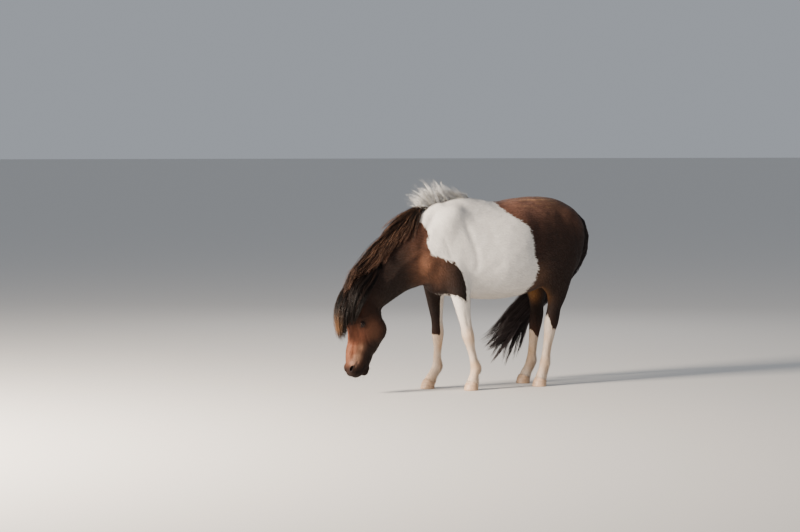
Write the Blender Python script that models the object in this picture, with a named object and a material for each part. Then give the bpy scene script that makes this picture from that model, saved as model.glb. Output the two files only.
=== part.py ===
"""Icelandic horse, life size, standing square on four hooves and grazing with its head down.

Metres, +Z up, the horse faces -X and its left side is -Y. Every place below is measured
from a point on the ground under the middle of the barrel. At the end the whole model is
moved so that its origin is on the ground at the centre of its outline.
"""

import math
import random
from collections import namedtuple

import bmesh
import bpy
from mathutils import Matrix, Vector
from mathutils.bvhtree import BVHTree

# ---------------------------------------------------------------- driving dimensions
OUTLINE_CENTRE = Vector((-0.276, 0.023, 0.0))  # middle of the outline, from the barrel
GAP = 0.0003  # clearance between neighbouring pieces
HAIR_GAP = 0.0015  # how far locks are cut clear of what they cross
BODY_VOXEL = 0.011  # mesh size that the body's masses are fused at
HEAD_VOXEL = 0.0055  # finer for the head
BODY_BLEND = 0.045  # how far the creases between fused masses are smoothed
HEAD_BLEND = 0.008
BODY_TRIANGLES = 3600
HEAD_TRIANGLES = 2100
EYE_RADIUS = 0.019
EYE_CENTRE = Vector((-1.166, 0.083, 0.497))  # right eye; the left one is mirrored
LEFT, RIGHT = -1, 1
SEED = 9

BROWN = (0.105, 0.042, 0.022)
DARK_BROWN = (0.035, 0.017, 0.012)
WHITE = (0.80, 0.77, 0.72)
HORN = (0.30, 0.22, 0.15)
EYE_DARK = (0.012, 0.007, 0.005)

# A ring of a limb or of the trunk. up and down reach from its centre to the surface on
# the dorsal side (back, crest, forehead, front of a leg) and on the opposite side, side
# is its half width, and roof and floor say how square the two halves are (2 is round).
Ring = namedtuple("Ring", "x z up down side y roof floor", defaults=(0.0, 2.0, 2.0))

TRUNK = (
    Ring(-0.735, 0.900, 0.110, 0.090, 0.060),
    Ring(-0.690, 0.930, 0.230, 0.180, 0.135),
    Ring(-0.600, 0.960, 0.310, 0.262, 0.185),
    Ring(-0.480, 0.960, 0.385, 0.288, 0.212, roof=1.8),
    Ring(-0.350, 0.955, 0.422, 0.300, 0.235, roof=1.7),
    Ring(-0.200, 0.945, 0.415, 0.308, 0.264, roof=1.8),
    Ring(-0.050, 0.940, 0.396, 0.310, 0.290, roof=2.0, floor=2.1),
    Ring(0.100, 0.945, 0.404, 0.300, 0.292, roof=2.1, floor=2.1),
    Ring(0.220, 0.970, 0.405, 0.288, 0.272, roof=2.1),
    Ring(0.340, 1.010, 0.374, 0.262, 0.250, roof=2.1),
    Ring(0.460, 1.040, 0.330, 0.240, 0.235, roof=2.1),
    Ring(0.560, 1.050, 0.270, 0.230, 0.205, roof=2.1),
    Ring(0.640, 1.045, 0.195, 0.200, 0.155),
    Ring(0.695, 1.035, 0.110, 0.130, 0.085),
)
NECK = (
    Ring(-0.420, 1.080, 0.290, 0.270, 0.185, roof=1.7),
    Ring(-0.560, 1.030, 0.268, 0.262, 0.178, roof=1.7),
    Ring(-0.700, 0.960, 0.232, 0.232, 0.150, roof=1.7),
    Ring(-0.830, 0.885, 0.205, 0.190, 0.122, roof=1.7),
    Ring(-0.950, 0.790, 0.185, 0.158, 0.103, roof=1.7),
    Ring(-1.050, 0.700, 0.158, 0.138, 0.090, roof=1.8),
    Ring(-1.100, 0.625, 0.122, 0.125, 0.082),
    Ring(-1.122, 0.560, 0.080, 0.100, 0.070),
)
FACE = (
    Ring(-1.110, 0.755, 0.050, 0.060, 0.046),
    Ring(-1.112, 0.710, 0.084, 0.110, 0.066),
    Ring(-1.115, 0.655, 0.092, 0.135, 0.083),
    Ring(-1.120, 0.590, 0.097, 0.150, 0.093, roof=2.3),
    Ring(-1.125, 0.530, 0.097, 0.157, 0.098, roof=2.6, floor=2.2),
    Ring(-1.125, 0.485, 0.097, 0.170, 0.095, roof=2.6, floor=2.3),
    Ring(-1.125, 0.440, 0.095, 0.176, 0.086, roof=2.6, floor=2.4),
    Ring(-1.130, 0.400, 0.092, 0.170, 0.077, roof=2.6, floor=2.4),
    Ring(-1.137, 0.350, 0.090, 0.142, 0.065, roof=2.5, floor=2.3),
    Ring(-1.150, 0.300, 0.092, 0.120, 0.056, roof=2.5),
    Ring(-1.158, 0.250, 0.088, 0.112, 0.051, roof=2.4),
    Ring(-1.160, 0.200, 0.081, 0.094, 0.052, roof=2.2),
    Ring(-1.158, 0.165, 0.066, 0.072, 0.049),
    Ring(-1.155, 0.140, 0.046, 0.050, 0.041),
    Ring(-1.150, 0.127, 0.024, 0.028, 0.026),
)

# A leg is the same on both sides but for where it stands: its rings are listed by height
# with their reach to the front, to the back and to the sides, and its pose gives x for the
# heights of its joints. The last numbers of a ring are its distance from the middle.
Section = namedtuple("Section", "z front back side out")
FORELEG = (
    Section(0.840, 0.110, 0.110, 0.075, 0.150),
    Section(0.740, 0.088, 0.095, 0.068, 0.151),
    Section(0.640, 0.072, 0.076, 0.058, 0.147),
    Section(0.545, 0.057, 0.055, 0.048, 0.141),
    Section(0.460, 0.046, 0.044, 0.040, 0.137),
    Section(0.400, 0.052, 0.046, 0.045, 0.135),
    Section(0.355, 0.043, 0.044, 0.040, 0.133),
    Section(0.290, 0.032, 0.036, 0.029, 0.131),
    Section(0.215, 0.031, 0.037, 0.029, 0.131),
    Section(0.160, 0.037, 0.046, 0.036, 0.130),
    Section(0.112, 0.033, 0.038, 0.032, 0.130),
    Section(0.072, 0.042, 0.044, 0.040, 0.130),
    Section(0.035, 0.040, 0.040, 0.040, 0.130),
)
HINDLEG = (
    Section(1.080, 0.170, 0.190, 0.085, 0.140),
    Section(0.960, 0.190, 0.195, 0.098, 0.145),
    Section(0.850, 0.175, 0.170, 0.094, 0.145),
    Section(0.750, 0.130, 0.120, 0.080, 0.142),
    Section(0.660, 0.088, 0.080, 0.063, 0.137),
    Section(0.575, 0.060, 0.060, 0.049, 0.133),
    Section(0.505, 0.054, 0.066, 0.044, 0.130),
    Section(0.445, 0.054, 0.058, 0.045, 0.129),
    Section(0.385, 0.044, 0.050, 0.038, 0.129),
    Section(0.300, 0.037, 0.041, 0.031, 0.129),
    Section(0.225, 0.035, 0.039, 0.031, 0.129),
    Section(0.170, 0.039, 0.046, 0.037, 0.129),
    Section(0.118, 0.035, 0.039, 0.033, 0.129),
    Section(0.076, 0.042, 0.043, 0.040, 0.129),
    Section(0.035, 0.040, 0.040, 0.040, 0.129),
)
# (height, x) down each leg: elbow, knee, fetlock, coronet, or hip, stifle, hock and on.
FORE_POSE = {
    LEFT: ((0.84, -0.440), (0.64, -0.398), (0.40, -0.337), (0.16, -0.274), (0.035, -0.301)),
    RIGHT: ((0.84, -0.455), (0.64, -0.440), (0.40, -0.422), (0.16, -0.436), (0.035, -0.506)),
}
HIND_POSE = {
    LEFT: ((1.08, 0.420), (0.85, 0.405), (0.66, 0.418), (0.505, 0.378), (0.17, 0.316), (0.035, 0.276)),
    RIGHT: ((1.08, 0.425), (0.85, 0.412), (0.66, 0.425), (0.505, 0.412), (0.17, 0.368), (0.035, 0.304)),
}

# Round masses that stand proud of the limbs: centre, radii, tilt about Y in degrees.
# Those off the middle are made on both sides.
Mass = namedtuple("Mass", "x y z rx ry rz tilt", defaults=(0.0,))
BODY_MASSES = (
    Mass(-0.500, 0.104, 1.090, 0.150, 0.087, 0.250, 32),  # shoulder blade
    Mass(-0.640, 0.100, 0.940, 0.090, 0.080, 0.130, 15),  # point of the shoulder
    Mass(-0.450, 0.140, 0.890, 0.135, 0.080, 0.140, -20),  # triceps
    Mass(-0.600, 0.065, 0.845, 0.100, 0.075, 0.080, 20),  # breast
    Mass(0.330, 0.120, 1.160, 0.170, 0.105, 0.125, -10),  # point of the hip
    Mass(0.480, 0.110, 1.150, 0.160, 0.108, 0.150, 20),  # croup muscle
    Mass(0.550, 0.100, 0.980, 0.105, 0.088, 0.190, 8),  # buttock
    Mass(0.300, 0.160, 0.860, 0.095, 0.070, 0.125, -25),  # stifle
    Mass(0.430, 0.140, 0.700, 0.080, 0.058, 0.130, 12),  # second thigh
)
HEAD_MASSES = (
    Mass(-1.030, 0.048, 0.450, 0.080, 0.036, 0.092, 8),  # round cheek
    Mass(-1.162, 0.068, 0.502, 0.050, 0.033, 0.052, 0),  # rim of the eye socket
    Mass(-1.166, 0.083, 0.497, 0.026, 0.026, 0.026, 0),  # lids over the eyeball
    Mass(-1.178, 0.062, 0.537, 0.040, 0.034, 0.038, 0),  # brow
    Mass(-1.206, 0.034, 0.195, 0.036, 0.026, 0.046, 12),  # nostril wing
    Mass(-1.190, 0.018, 0.155, 0.042, 0.034, 0.030, 0),  # upper lip
    Mass(-1.112, 0.014, 0.158, 0.034, 0.028, 0.028, 0),  # lower lip
    Mass(-1.092, 0.000, 0.182, 0.030, 0.030, 0.032, 0),  # chin
    Mass(-1.140, 0.055, 0.385, 0.016, 0.015, 0.078, 6),  # facial crest
    Mass(-1.120, 0.048, 0.690, 0.045, 0.034, 0.045, 0),  # base of the ear
)


# ---------------------------------------------------------------- shape tools
def blend_stations(rings, steps):
    """Reads a smooth curve through the rings, so that a few of them make a limb."""
    padded = [rings[0], *rings, rings[-1]]
    made = []
    for i in range(1, len(padded) - 2):
        a, b, c, d = padded[i - 1 : i + 3]
        for k in range(steps):
            t = k / steps
            made.append(
                type(b)(
                    *(
                        0.5
                        * (
                            2 * q
                            + (r - p) * t
                            + (2 * p - 5 * q + 4 * r - s) * t * t
                            + (3 * q - p - 3 * r + s) * t**3
                        )
                        for p, q, r, s in zip(a, b, c, d)
                    )
                )
            )
    made.append(rings[-1])
    return made


def ring_points(ring, along, dorsal, sides):
    """The points of one ring, square to the line that it stands on."""
    across = Vector((0, 1, 0))
    up = across.cross(along).normalized()
    if up.dot(dorsal) < 0:
        up = -up
    across = along.cross(up).normalized()
    centre = Vector((ring.x, ring.y, ring.z))
    for k in range(sides):
        angle = math.tau * k / sides
        c, s = math.cos(angle), math.sin(angle)
        power = 2 / (ring.roof if s > 0 else ring.floor)
        reach = ring.up if s > 0 else ring.down
        yield (
            centre
            + across * ring.side * math.copysign(abs(c) ** power, c)
            + up * reach * math.copysign(abs(s) ** power, s)
        )


def loft(bm, loops):
    """Skins loops of points, closed at both ends. A loop of one point is a tip."""
    loops = [[bm.verts.new(p) for p in loop] for loop in loops]
    for a, b in zip(loops, loops[1:]):
        count = len(a)
        for k in range(count):
            n = (k + 1) % count
            bm.faces.new((a[k], a[n], b[0]) if len(b) == 1 else (a[k], a[n], b[n], b[k]))
    bm.faces.new(loops[0][::-1])
    if len(loops[-1]) > 1:
        bm.faces.new(loops[-1])


def sweep(bm, rings, dorsal, sides=28, steps=5):
    """Adds a closed tube through the rings to bm."""
    rings = blend_stations(rings, steps)
    dorsal = Vector(dorsal)
    loops = []
    for i, ring in enumerate(rings):
        a, b = rings[max(i - 1, 0)], rings[min(i + 1, len(rings) - 1)]
        along = Vector((b.x - a.x, b.y - a.y, b.z - a.z)).normalized()
        loops.append(ring_points(ring, along, dorsal, sides))
    loft(bm, loops)


def add_mass(bm, mass, side, fineness=3):
    """Adds one ellipsoid to bm, on the side asked for."""
    place = (
        Matrix.Translation((mass.x, mass.y * side, mass.z))
        @ Matrix.Rotation(math.radians(mass.tilt), 4, "Y")
        @ Matrix.Diagonal((mass.rx, mass.ry, mass.rz, 1.0))
    )
    bmesh.ops.create_icosphere(bm, subdivisions=fineness, radius=1.0, matrix=place)


def add_masses(bm, masses):
    for mass in masses:
        for side in (LEFT, RIGHT) if mass.y else (RIGHT,):
            add_mass(bm, mass, side)


def leg_rings(sections, pose, side):
    """Places the sections of a leg along its pose."""
    rings = []
    for s in sections:
        for (z1, x1), (z0, x0) in zip(pose, pose[1:]):
            if z0 <= s.z <= z1:
                x = x0 + (x1 - x0) * (s.z - z0) / (z1 - z0)
        rings.append(Ring(x, s.z, s.front, s.back, s.side, y=s.out * side))
    return rings


def new_object(name, bm, material=None):
    """Makes an object from bm, with its faces pointing out."""
    bmesh.ops.recalc_face_normals(bm, faces=bm.faces)
    mesh = bpy.data.meshes.new(name)
    bm.to_mesh(mesh)
    bm.free()
    obj = bpy.data.objects.new(name, mesh)
    bpy.context.scene.collection.objects.link(obj)
    if material:
        mesh.materials.append(material)
    return obj


def bake_modifiers(obj):
    """Replaces an object's mesh by what its modifiers make of it."""
    graph = bpy.context.evaluated_depsgraph_get()
    made = bpy.data.meshes.new_from_object(obj.evaluated_get(graph))
    old = obj.data
    obj.modifiers.clear()
    obj.data = made
    made.name = obj.name
    bpy.data.meshes.remove(old)


def fuse(name, bm, voxel, blend, softness, triangles):
    """Fuses overlapping masses into one skin, softens its creases and thins it out.

    blend is how far creases are smoothed where softness, read at a point, is 1.
    """
    obj = new_object(name, bm)
    remesh = obj.modifiers.new("Fuse", "REMESH")
    remesh.mode = "VOXEL"
    remesh.voxel_size = voxel
    bake_modifiers(obj)
    group = obj.vertex_groups.new(name="soft")
    for v in obj.data.vertices:
        group.add([v.index], softness(v.co), "REPLACE")
    smooth = obj.modifiers.new("Blend", "SMOOTH")
    smooth.factor = 0.5
    smooth.iterations = round((2 * blend / voxel) ** 2)
    smooth.vertex_group = group.name
    thin = obj.modifiers.new("Thin", "DECIMATE")
    thin.ratio = triangles / (2 * len(obj.data.polygons))
    bake_modifiers(obj)
    obj.vertex_groups.clear()
    return obj


def cutter(name, planes, grow):
    """A convex block between planes, each a point and an outward normal."""
    bm = bmesh.new()
    bmesh.ops.create_cube(bm, size=6.0)
    for point, normal in planes:
        normal = Vector(normal).normalized()
        cut = bmesh.ops.bisect_plane(
            bm,
            geom=bm.verts[:] + bm.edges[:] + bm.faces[:],
            plane_co=Vector(point) + normal * grow,
            plane_no=normal,
            clear_outer=True,
        )
        edges = [e for e in cut["geom_cut"] if isinstance(e, bmesh.types.BMEdge)]
        bmesh.ops.holes_fill(bm, edges=edges)
    obj = new_object(name, bm)
    obj.hide_render = True
    obj.display_type = "WIRE"
    return obj


def boolean(obj, operation, others, solver="EXACT"):
    """Joins obj with, cuts it by or keeps what it shares with closed meshes."""
    group = bpy.data.collections.new("operands")
    for other in others:
        group.objects.link(other)
    modifier = obj.modifiers.new(operation.title(), "BOOLEAN")
    modifier.operation = operation
    modifier.solver = solver
    modifier.operand_type = "COLLECTION"
    modifier.collection = group
    bake_modifiers(obj)
    for other in others:
        bpy.data.objects.remove(other)
    bpy.data.collections.remove(group)


def keep_largest(obj):
    """Drops loose scraps: only the largest closed surface stays."""
    bm = bmesh.new()
    bm.from_mesh(obj.data)
    left = set(bm.verts)
    parts = []
    while left:
        found, front = set(), [left.pop()]
        while front:
            v = front.pop()
            found.add(v)
            for e in v.link_edges:
                w = e.other_vert(v)
                if w in left:
                    left.discard(w)
                    front.append(w)
        parts.append(found)
    parts.sort(key=len)
    bmesh.ops.delete(bm, geom=[v for p in parts[:-1] for v in p], context="VERTS")
    bm.to_mesh(obj.data)
    bm.free()


def copy_of(obj, name):
    made = bpy.data.objects.new(name, obj.data.copy())
    bpy.context.scene.collection.objects.link(made)
    return made


def swollen(obj, by):
    """A copy of obj, grown along its normals, to cut its neighbours clear of it."""
    made = copy_of(obj, "swollen_" + obj.name)
    normals = [v.normal.copy() for v in made.data.vertices]
    for v, n in zip(made.data.vertices, normals):
        v.co += n * by
    made.hide_render = True
    return made


def surface_of(obj):
    bm = bmesh.new()
    bm.from_mesh(obj.data)
    tree = BVHTree.FromBMesh(bm)
    bm.free()
    return tree


# ---------------------------------------------------------------- materials
def material(name, colour, roughness):
    made = bpy.data.materials.new(name)
    made.use_nodes = True
    shader = made.node_tree.nodes["Principled BSDF"]
    shader.inputs["Base Color"].default_value = (*colour, 1.0)
    shader.inputs["Roughness"].default_value = roughness
    shader.inputs["Metallic"].default_value = 0.0
    return made


# ---------------------------------------------------------------- the flesh
def body_softness(point):
    """1 on the trunk and almost nothing on the shins, which smoothing would thin."""
    return min(max((point.z - 0.42) / 0.40, 0.06), 1.0)


def head_softness(point):
    """Less at the eye, whose lids stay crisp."""
    eye = Vector((point.x, abs(point.y), point.z)) - EYE_CENTRE
    return 0.35 if eye.length < 2 * EYE_RADIUS else 1.0


def body_flesh():
    """Trunk, neck and legs as one skin."""
    bm = bmesh.new()
    sweep(bm, TRUNK, (0, 0, 1))
    sweep(bm, NECK, (-0.6, 0, 0.8))
    for side in (LEFT, RIGHT):
        sweep(bm, leg_rings(FORELEG, FORE_POSE[side], side), (-1, 0, 0), sides=20)
        sweep(bm, leg_rings(HINDLEG, HIND_POSE[side], side), (-1, 0, 0), sides=20)
    add_masses(bm, BODY_MASSES)
    return fuse("body_flesh", bm, BODY_VOXEL, BODY_BLEND, body_softness, BODY_TRIANGLES)


def head_flesh():
    """Head and the upper neck, finer than the body."""
    bm = bmesh.new()
    sweep(bm, NECK[2:], (-0.6, 0, 0.8))
    sweep(bm, FACE, (-1, 0, 0), sides=36)
    add_masses(bm, HEAD_MASSES)
    return fuse("head_flesh", bm, HEAD_VOXEL, HEAD_BLEND, head_softness, HEAD_TRIANGLES)


# ---------------------------------------------------------------- where the nodes part
POLL, THROAT = Vector((-1.140, 0.0, 0.745)), Vector((-0.955, 0.0, 0.530))
WITHERS, BREAST = Vector((-0.330, 0.0, 1.385)), Vector((-0.740, 0.0, 0.720))
NECK_TOP = Vector((-0.800, 0.0, 0.0))  # the head ends in front of this plane
ELBOW, FORE_WIDTH = 0.715, (-0.640, -0.200)
FLANK, HIP = Vector((0.170, 0.0, 0.800)), Vector((0.700, 0.0, 0.920))
KNEE_CUT, HOCK_CUT = 0.415, 0.475
INNER_FORE, INNER_HIND = 0.045, 0.035  # how far from the middle the legs part


def cut_normal(top, bottom):
    """The normal of a cut that shows as the line from top to bottom from the side."""
    along = (bottom - top).normalized()
    return Vector((along.z, 0, -along.x))


HEAD_NORMAL = cut_normal(POLL, THROAT)  # looks forwards
NECK_NORMAL = cut_normal(WITHERS, BREAST)
THIGH_NORMAL = cut_normal(FLANK, HIP)  # looks down


def head_block():
    return [(POLL, -HEAD_NORMAL), (NECK_TOP, (1, 0, 0))]


def neck_block():
    return [(WITHERS, -NECK_NORMAL)]


def foreleg_block(side):
    front, back = FORE_WIDTH
    return [
        ((0, 0, ELBOW), (0, 0, 1)),
        ((front, 0, 0), (-1, 0, 0)),
        ((back, 0, 0), (1, 0, 0)),
        ((0, INNER_FORE * side, 0), (0, -side, 0)),
    ]


def hindleg_block(side):
    return [
        (FLANK, -THIGH_NORMAL),
        ((FLANK.x, 0, 0), (-1, 0, 0)),
        ((0, INNER_HIND * side, 0), (0, -side, 0)),
    ]


def below(z):
    return ((0, 0, z), (0, 0, 1))


def above(z):
    return ((0, 0, z), (0, 0, -1))


def part_of(flesh, name, material, blocks, cuts=()):
    """The share of the flesh inside the blocks, clear of the cuts by GAP."""
    obj = copy_of(flesh, name)
    obj.data.materials.clear()
    obj.data.materials.append(material)
    if blocks:
        boolean(obj, "INTERSECT", [cutter("kept", blocks, 0)])
    for cut in cuts:
        boolean(obj, "DIFFERENCE", [cutter("cut", cut, GAP)])
    keep_largest(obj)
    return obj


# ---------------------------------------------------------------- hooves
# A hoof below its leg, from the ground up to the coronet. The sole is flat.
HOOF = (
    Section(0.000, 0.056, 0.040, 0.050, 0.130),
    Section(0.005, 0.058, 0.043, 0.052, 0.130),
    Section(0.040, 0.048, 0.047, 0.049, 0.130),
    Section(0.095, 0.034, 0.047, 0.043, 0.130),
)
CORONET_TOE, CORONET_HEEL = 0.073, 0.040  # heights of the coronet at its front and back


def coronet(foot):
    """The slanted plane between a hoof and its pastern, looking down."""
    toe = Vector((foot - 0.048, 0, CORONET_TOE))
    heel = Vector((foot + 0.050, 0, CORONET_HEEL))
    return toe, cut_normal(toe, heel)


def make_hoof(name, foot, side, horn):
    bm = bmesh.new()
    rings = [Ring(foot, s.z, s.front, s.back, s.side, y=s.out * side) for s in HOOF]
    sweep(bm, rings, (-1, 0, 0), sides=16, steps=1)
    hoof = new_object(name, bm, horn)
    toe, down = coronet(foot)
    boolean(hoof, "INTERSECT", [cutter("below", [(toe, -down)], -GAP)])


def make_leg(flesh, name, block, pose, side, split, skin, horn):
    """The upper and lower length of one leg, and its hoof. Returns the lower length."""
    foot = pose[-1][1]
    toe, down = coronet(foot)
    part_of(flesh, f"{name}_upper", skin, [*block, above(split + GAP)])
    make_hoof(f"{name}_hoof", foot, side, horn)
    return part_of(flesh, f"{name}_lower", skin, [*block, below(split), (toe, down)])


# ---------------------------------------------------------------- head
EYE_SLIT = (0.021, 0.013)  # half length and half height of the opening between the lids
EYE_SLIT_AXIS = Vector((-0.34, 0.0, -0.94))  # from the outer corner to the inner one
NOSTRIL = Mass(-1.222, 0.046, 0.188, 0.013, 0.013, 0.021, 18)
MOUTH = (Vector((-1.152, 0, 0.110)), Vector((-1.146, 0, 0.160)), Vector((-1.116, 0, 0.216)))
MOUTH_SLIT = 0.0024
EAR_BASE, EAR_TIP = Vector((-1.152, 0.056, 0.672)), Vector((-1.252, 0.092, 0.708))
EAR_OPENS = Vector((-0.35, 0.45, -0.85))
EAR_PROFILE = ((0.0, 0.022), (0.15, 0.026), (0.38, 0.030), (0.62, 0.026), (0.82, 0.016), (0.95, 0.006))
EAR_WALL, EAR_CUP_LIFT = 0.0045, 0.24


def mirrored(point, side):
    return Vector((point.x, point.y * side, point.z))


def ball(name, centre, radius, material=None, segments=12, rings=8):
    bm = bmesh.new()
    bmesh.ops.create_uvsphere(
        bm, u_segments=segments, v_segments=rings, radius=radius, matrix=Matrix.Translation(centre)
    )
    return new_object(name, bm, material)


def lid_opening(side):
    """An almond prism that opens the lids outwards."""
    centre = mirrored(EYE_CENTRE, side)
    long = EYE_SLIT_AXIS.normalized()
    across = long.cross(Vector((0, 1, 0)))
    half, high = EYE_SLIT
    outline = []
    for k in range(20):
        angle = math.tau * k / 20
        outline.append(
            centre
            + long * half * math.cos(angle)
            + across * high * math.copysign(abs(math.sin(angle)) ** 1.25, math.sin(angle))
        )
    out = Vector((-0.10, side, 0.0)).normalized()
    bm = bmesh.new()
    loft(bm, [[p for p in outline], [p + out * 0.05 for p in outline]])
    return new_object("lid_opening", bm)


def mouth_slit():
    """The thin slot between the lips, from side to side."""
    bm = bmesh.new()
    loops = []
    for i, p in enumerate(MOUTH):
        along = (MOUTH[min(i + 1, 2)] - MOUTH[max(i - 1, 0)]).normalized()
        thick = Vector((along.z, 0, -along.x)) * MOUTH_SLIT / 2
        wide = Vector((0, 0.09, 0))
        loops.append([p + thick + wide, p + thick - wide, p - thick - wide, p - thick + wide])
    loft(bm, loops)
    return new_object("mouth_slit", bm)


def nostril(side):
    bm = bmesh.new()
    add_mass(bm, NOSTRIL, side, fineness=2)
    return new_object("nostril", bm)


def ear_loops(side, profile, shrink, lift, sides):
    """Rings along an ear, thinner than its profile by shrink and moved by lift."""
    base, tip = mirrored(EAR_BASE, side), mirrored(EAR_TIP, side)
    axis = tip - base
    opens = mirrored(EAR_OPENS, side)
    opens = (opens - axis * opens.dot(axis) / axis.length_squared).normalized()
    across = axis.normalized().cross(opens)
    loops = []
    for s, width in profile:
        width = width - shrink
        bow = 0.012 * math.sin(math.pi * s)
        centre = base + axis * s + opens * (lift * width - bow)
        loops.append(
            [
                centre
                + across * width * math.cos(a)
                + opens * width * math.sin(a) * (0.55 if math.sin(a) > 0 else 0.85)
                for a in (math.tau * k / sides for k in range(sides))
            ]
        )
    return loops


def make_ear(name, side, skin, head):
    """A leaf-shaped ear with its cup, clear of the head. Returns its shape with no cup."""
    bm = bmesh.new()
    loft(bm, [*ear_loops(side, EAR_PROFILE, 0.0, 0.0, 12), [mirrored(EAR_TIP, side)]])
    ear = new_object(name, bm, skin)
    space = copy_of(ear, name + "_space")
    bm = bmesh.new()
    loft(bm, ear_loops(side, EAR_PROFILE[1:-1], EAR_WALL, EAR_CUP_LIFT, 10))
    cup = new_object("cup", bm)
    boolean(ear, "DIFFERENCE", [cup])
    boolean(ear, "DIFFERENCE", [swollen(head, 2 * GAP)])
    keep_largest(ear)
    return space


def make_head(space):
    """The head from its plain shape, with its eye sockets, lids, nostrils and mouth."""
    head = copy_of(space, "head")
    cuts = [mouth_slit()]
    for side in (LEFT, RIGHT):
        centre = mirrored(EYE_CENTRE, side)
        cuts += [ball("socket", centre, EYE_RADIUS + GAP), lid_opening(side), nostril(side)]
    for cut in cuts:
        boolean(head, "DIFFERENCE", [cut])
    keep_largest(head)
    return head


# ---------------------------------------------------------------- locks of long hair
# A lock runs through its points and lies flat against their normals. wide is half its
# width and thin its thickness, both where it is fullest.
Lock = namedtuple("Lock", "points normals wide thin")
LOCK_SINK = 0.016  # how deep a root goes
LOCK_CLEAR = 0.010  # how far above the skin a lock runs
LOCK_SWAY = 0.08  # how far it wanders from its heading
LOCK_ROLL = 0.35  # and how far it turns about it
EDGE_GROW = 6  # how much farther a lock's thin edges move than its faces when it grows


def taper(s):
    """How wide a lock is from its root, at 0, to its tip."""
    return (0.55 + 0.45 * min(s / 0.3, 1.0)) * (1.0 - s**2.4)


def make_lock(lock, grow=0.0):
    """One lock, three-sided, with a keel on its outside. grow makes it thicker all round."""
    last = len(lock.points) - 1
    loops = []
    for i, (point, normal) in enumerate(zip(lock.points[:-1], lock.normals)):
        along = (lock.points[i + 1] - lock.points[max(i - 1, 0)]).normalized()
        out = (normal - along * normal.dot(along)).normalized()
        size = taper(i / last)
        side = along.cross(out) * (lock.wide * size + EDGE_GROW * grow)
        keel = out * (lock.thin * size + grow)
        under = point - out * grow
        loops.append([under + side, point + keel, under - side])
    tip = lock.points[-1] + (lock.points[-1] - lock.points[-2]).normalized() * EDGE_GROW * grow
    bm = bmesh.new()
    loft(bm, [*loops, [tip]])
    return new_object("lock", bm)


def surface_near(trees, point):
    """The nearest point of any of the surfaces, its normal and how far above it we are."""
    best = None
    for tree in trees:
        place, normal, _, distance = tree.find_nearest(point)
        if best is None or distance < best[2]:
            best = (place, normal, distance)
    place, normal, _ = best
    return place, normal, (point - place).dot(normal)


def raised(trees, point, height):
    """The point itself, or moved out to stand at least height above the surfaces."""
    for _ in range(3):
        _, normal, above = surface_near(trees, point)
        if above >= height:
            break
        point = point + normal * (height - above)
    return point


def drape(root, normal, heading, length, level, lift, trees, rng, steps=5):
    """A lock's points and normals: up out of its root to its level, then along its heading.

    lift is how much farther than its level the tip stands off.
    """
    points, normals = [root - (normal + heading * 1.4) * LOCK_SINK], [normal]
    point = root + normal * 0.004
    direction = (normal * 0.5 + heading).normalized()
    sway = Vector([rng.uniform(-1, 1) for _ in range(3)]) * LOCK_SWAY
    roll = rng.uniform(-LOCK_ROLL, LOCK_ROLL)
    for i in range(steps):
        points.append(point)
        _, beneath, _ = surface_near(trees, point)
        normals.append((beneath + heading.cross(beneath) * roll).normalized())
        direction = (direction * 0.5 + heading + sway * math.sin(4 * i / steps)).normalized()
        place, above, _ = surface_near(trees, point + direction * length / steps)
        t = (i + 1) / steps
        height = level * min(t / 0.30, 1.0) + lift * t**1.4
        point = place + above * max(height, LOCK_CLEAR)
    points.append(point)
    return points, normals


def grow_on(node, locks, cutters=()):
    """Fuses locks with the node that they grow from, then cuts it clear of its neighbours."""
    boolean(node, "UNION", [make_lock(lock) for lock in locks], "MANIFOLD")
    for shape in cutters:
        boolean(node, "DIFFERENCE", [shape], "MANIFOLD")
    keep_largest(node)


# ---------------------------------------------------------------- mane and feather
# One stretch of the mane, from x0 to x1 along the crest: how many locks, their length,
# half width and thickness, the levels that neighbours lie at in turn, how far the tips
# stand off, where they head, and how far from the middle their roots spread.
Mane = namedtuple("Mane", "x0 x1 count length wide thin levels lift heading spread")
MANES = (
    Mane(
        -0.640, -1.125, 21, 0.30, 0.036, 0.010, (0.012, 0.044, 0.024, 0.050), 0.012,
        Vector((-0.62, -0.30, -0.72)), 0.014,
    ),
    Mane(-0.720, -1.080, 4, 0.16, 0.030, 0.010, (0.012, 0.024), 0.0, Vector((-0.50, 0.55, -0.67)), 0.004),
    Mane(-0.395, -0.620, 11, 0.16, 0.026, 0.010, (0.012, 0.026), 0.12, Vector((-0.80, -0.10, 0.15)), 0.018),
)
FETLOCK, FEATHER = 0.165, (0.055, 0.013, 0.006)  # its height, and length, width and thickness
FEATHER_SINK = 0.008
FEATHER_TURNS = (-0.7, 0.0, 0.7)  # how far round the back of a fetlock its locks stand


def crest_point(trees, x, y):
    """Where the crest of the neck or the withers is at x, and the surface's normal there."""
    best = None
    for tree in trees:
        place, normal, _, _ = tree.ray_cast(Vector((x, y, 2.0)), Vector((0, 0, -1)))
        if place and (best is None or place.z > best[0].z):
            best = (place, normal)
    return best


def mane_locks(mane, trees, rng):
    made = []
    for i in range(mane.count):
        t = (i + rng.uniform(0.3, 0.7)) / mane.count
        x = mane.x0 + (mane.x1 - mane.x0) * t
        root, normal = crest_point(trees, x, rng.uniform(-1, 1) * mane.spread)
        heading = (mane.heading + Vector([rng.uniform(-0.07, 0.07) for _ in range(3)])).normalized()
        length = mane.length * rng.uniform(0.8, 1.15)
        level = mane.levels[i % len(mane.levels)] * rng.uniform(0.8, 1.2)
        points, normals = drape(root, normal, heading, length, level, mane.lift, trees, rng)
        made.append(Lock(points, normals, mane.wide * rng.uniform(0.85, 1.15), mane.thin))
    return made


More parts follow.
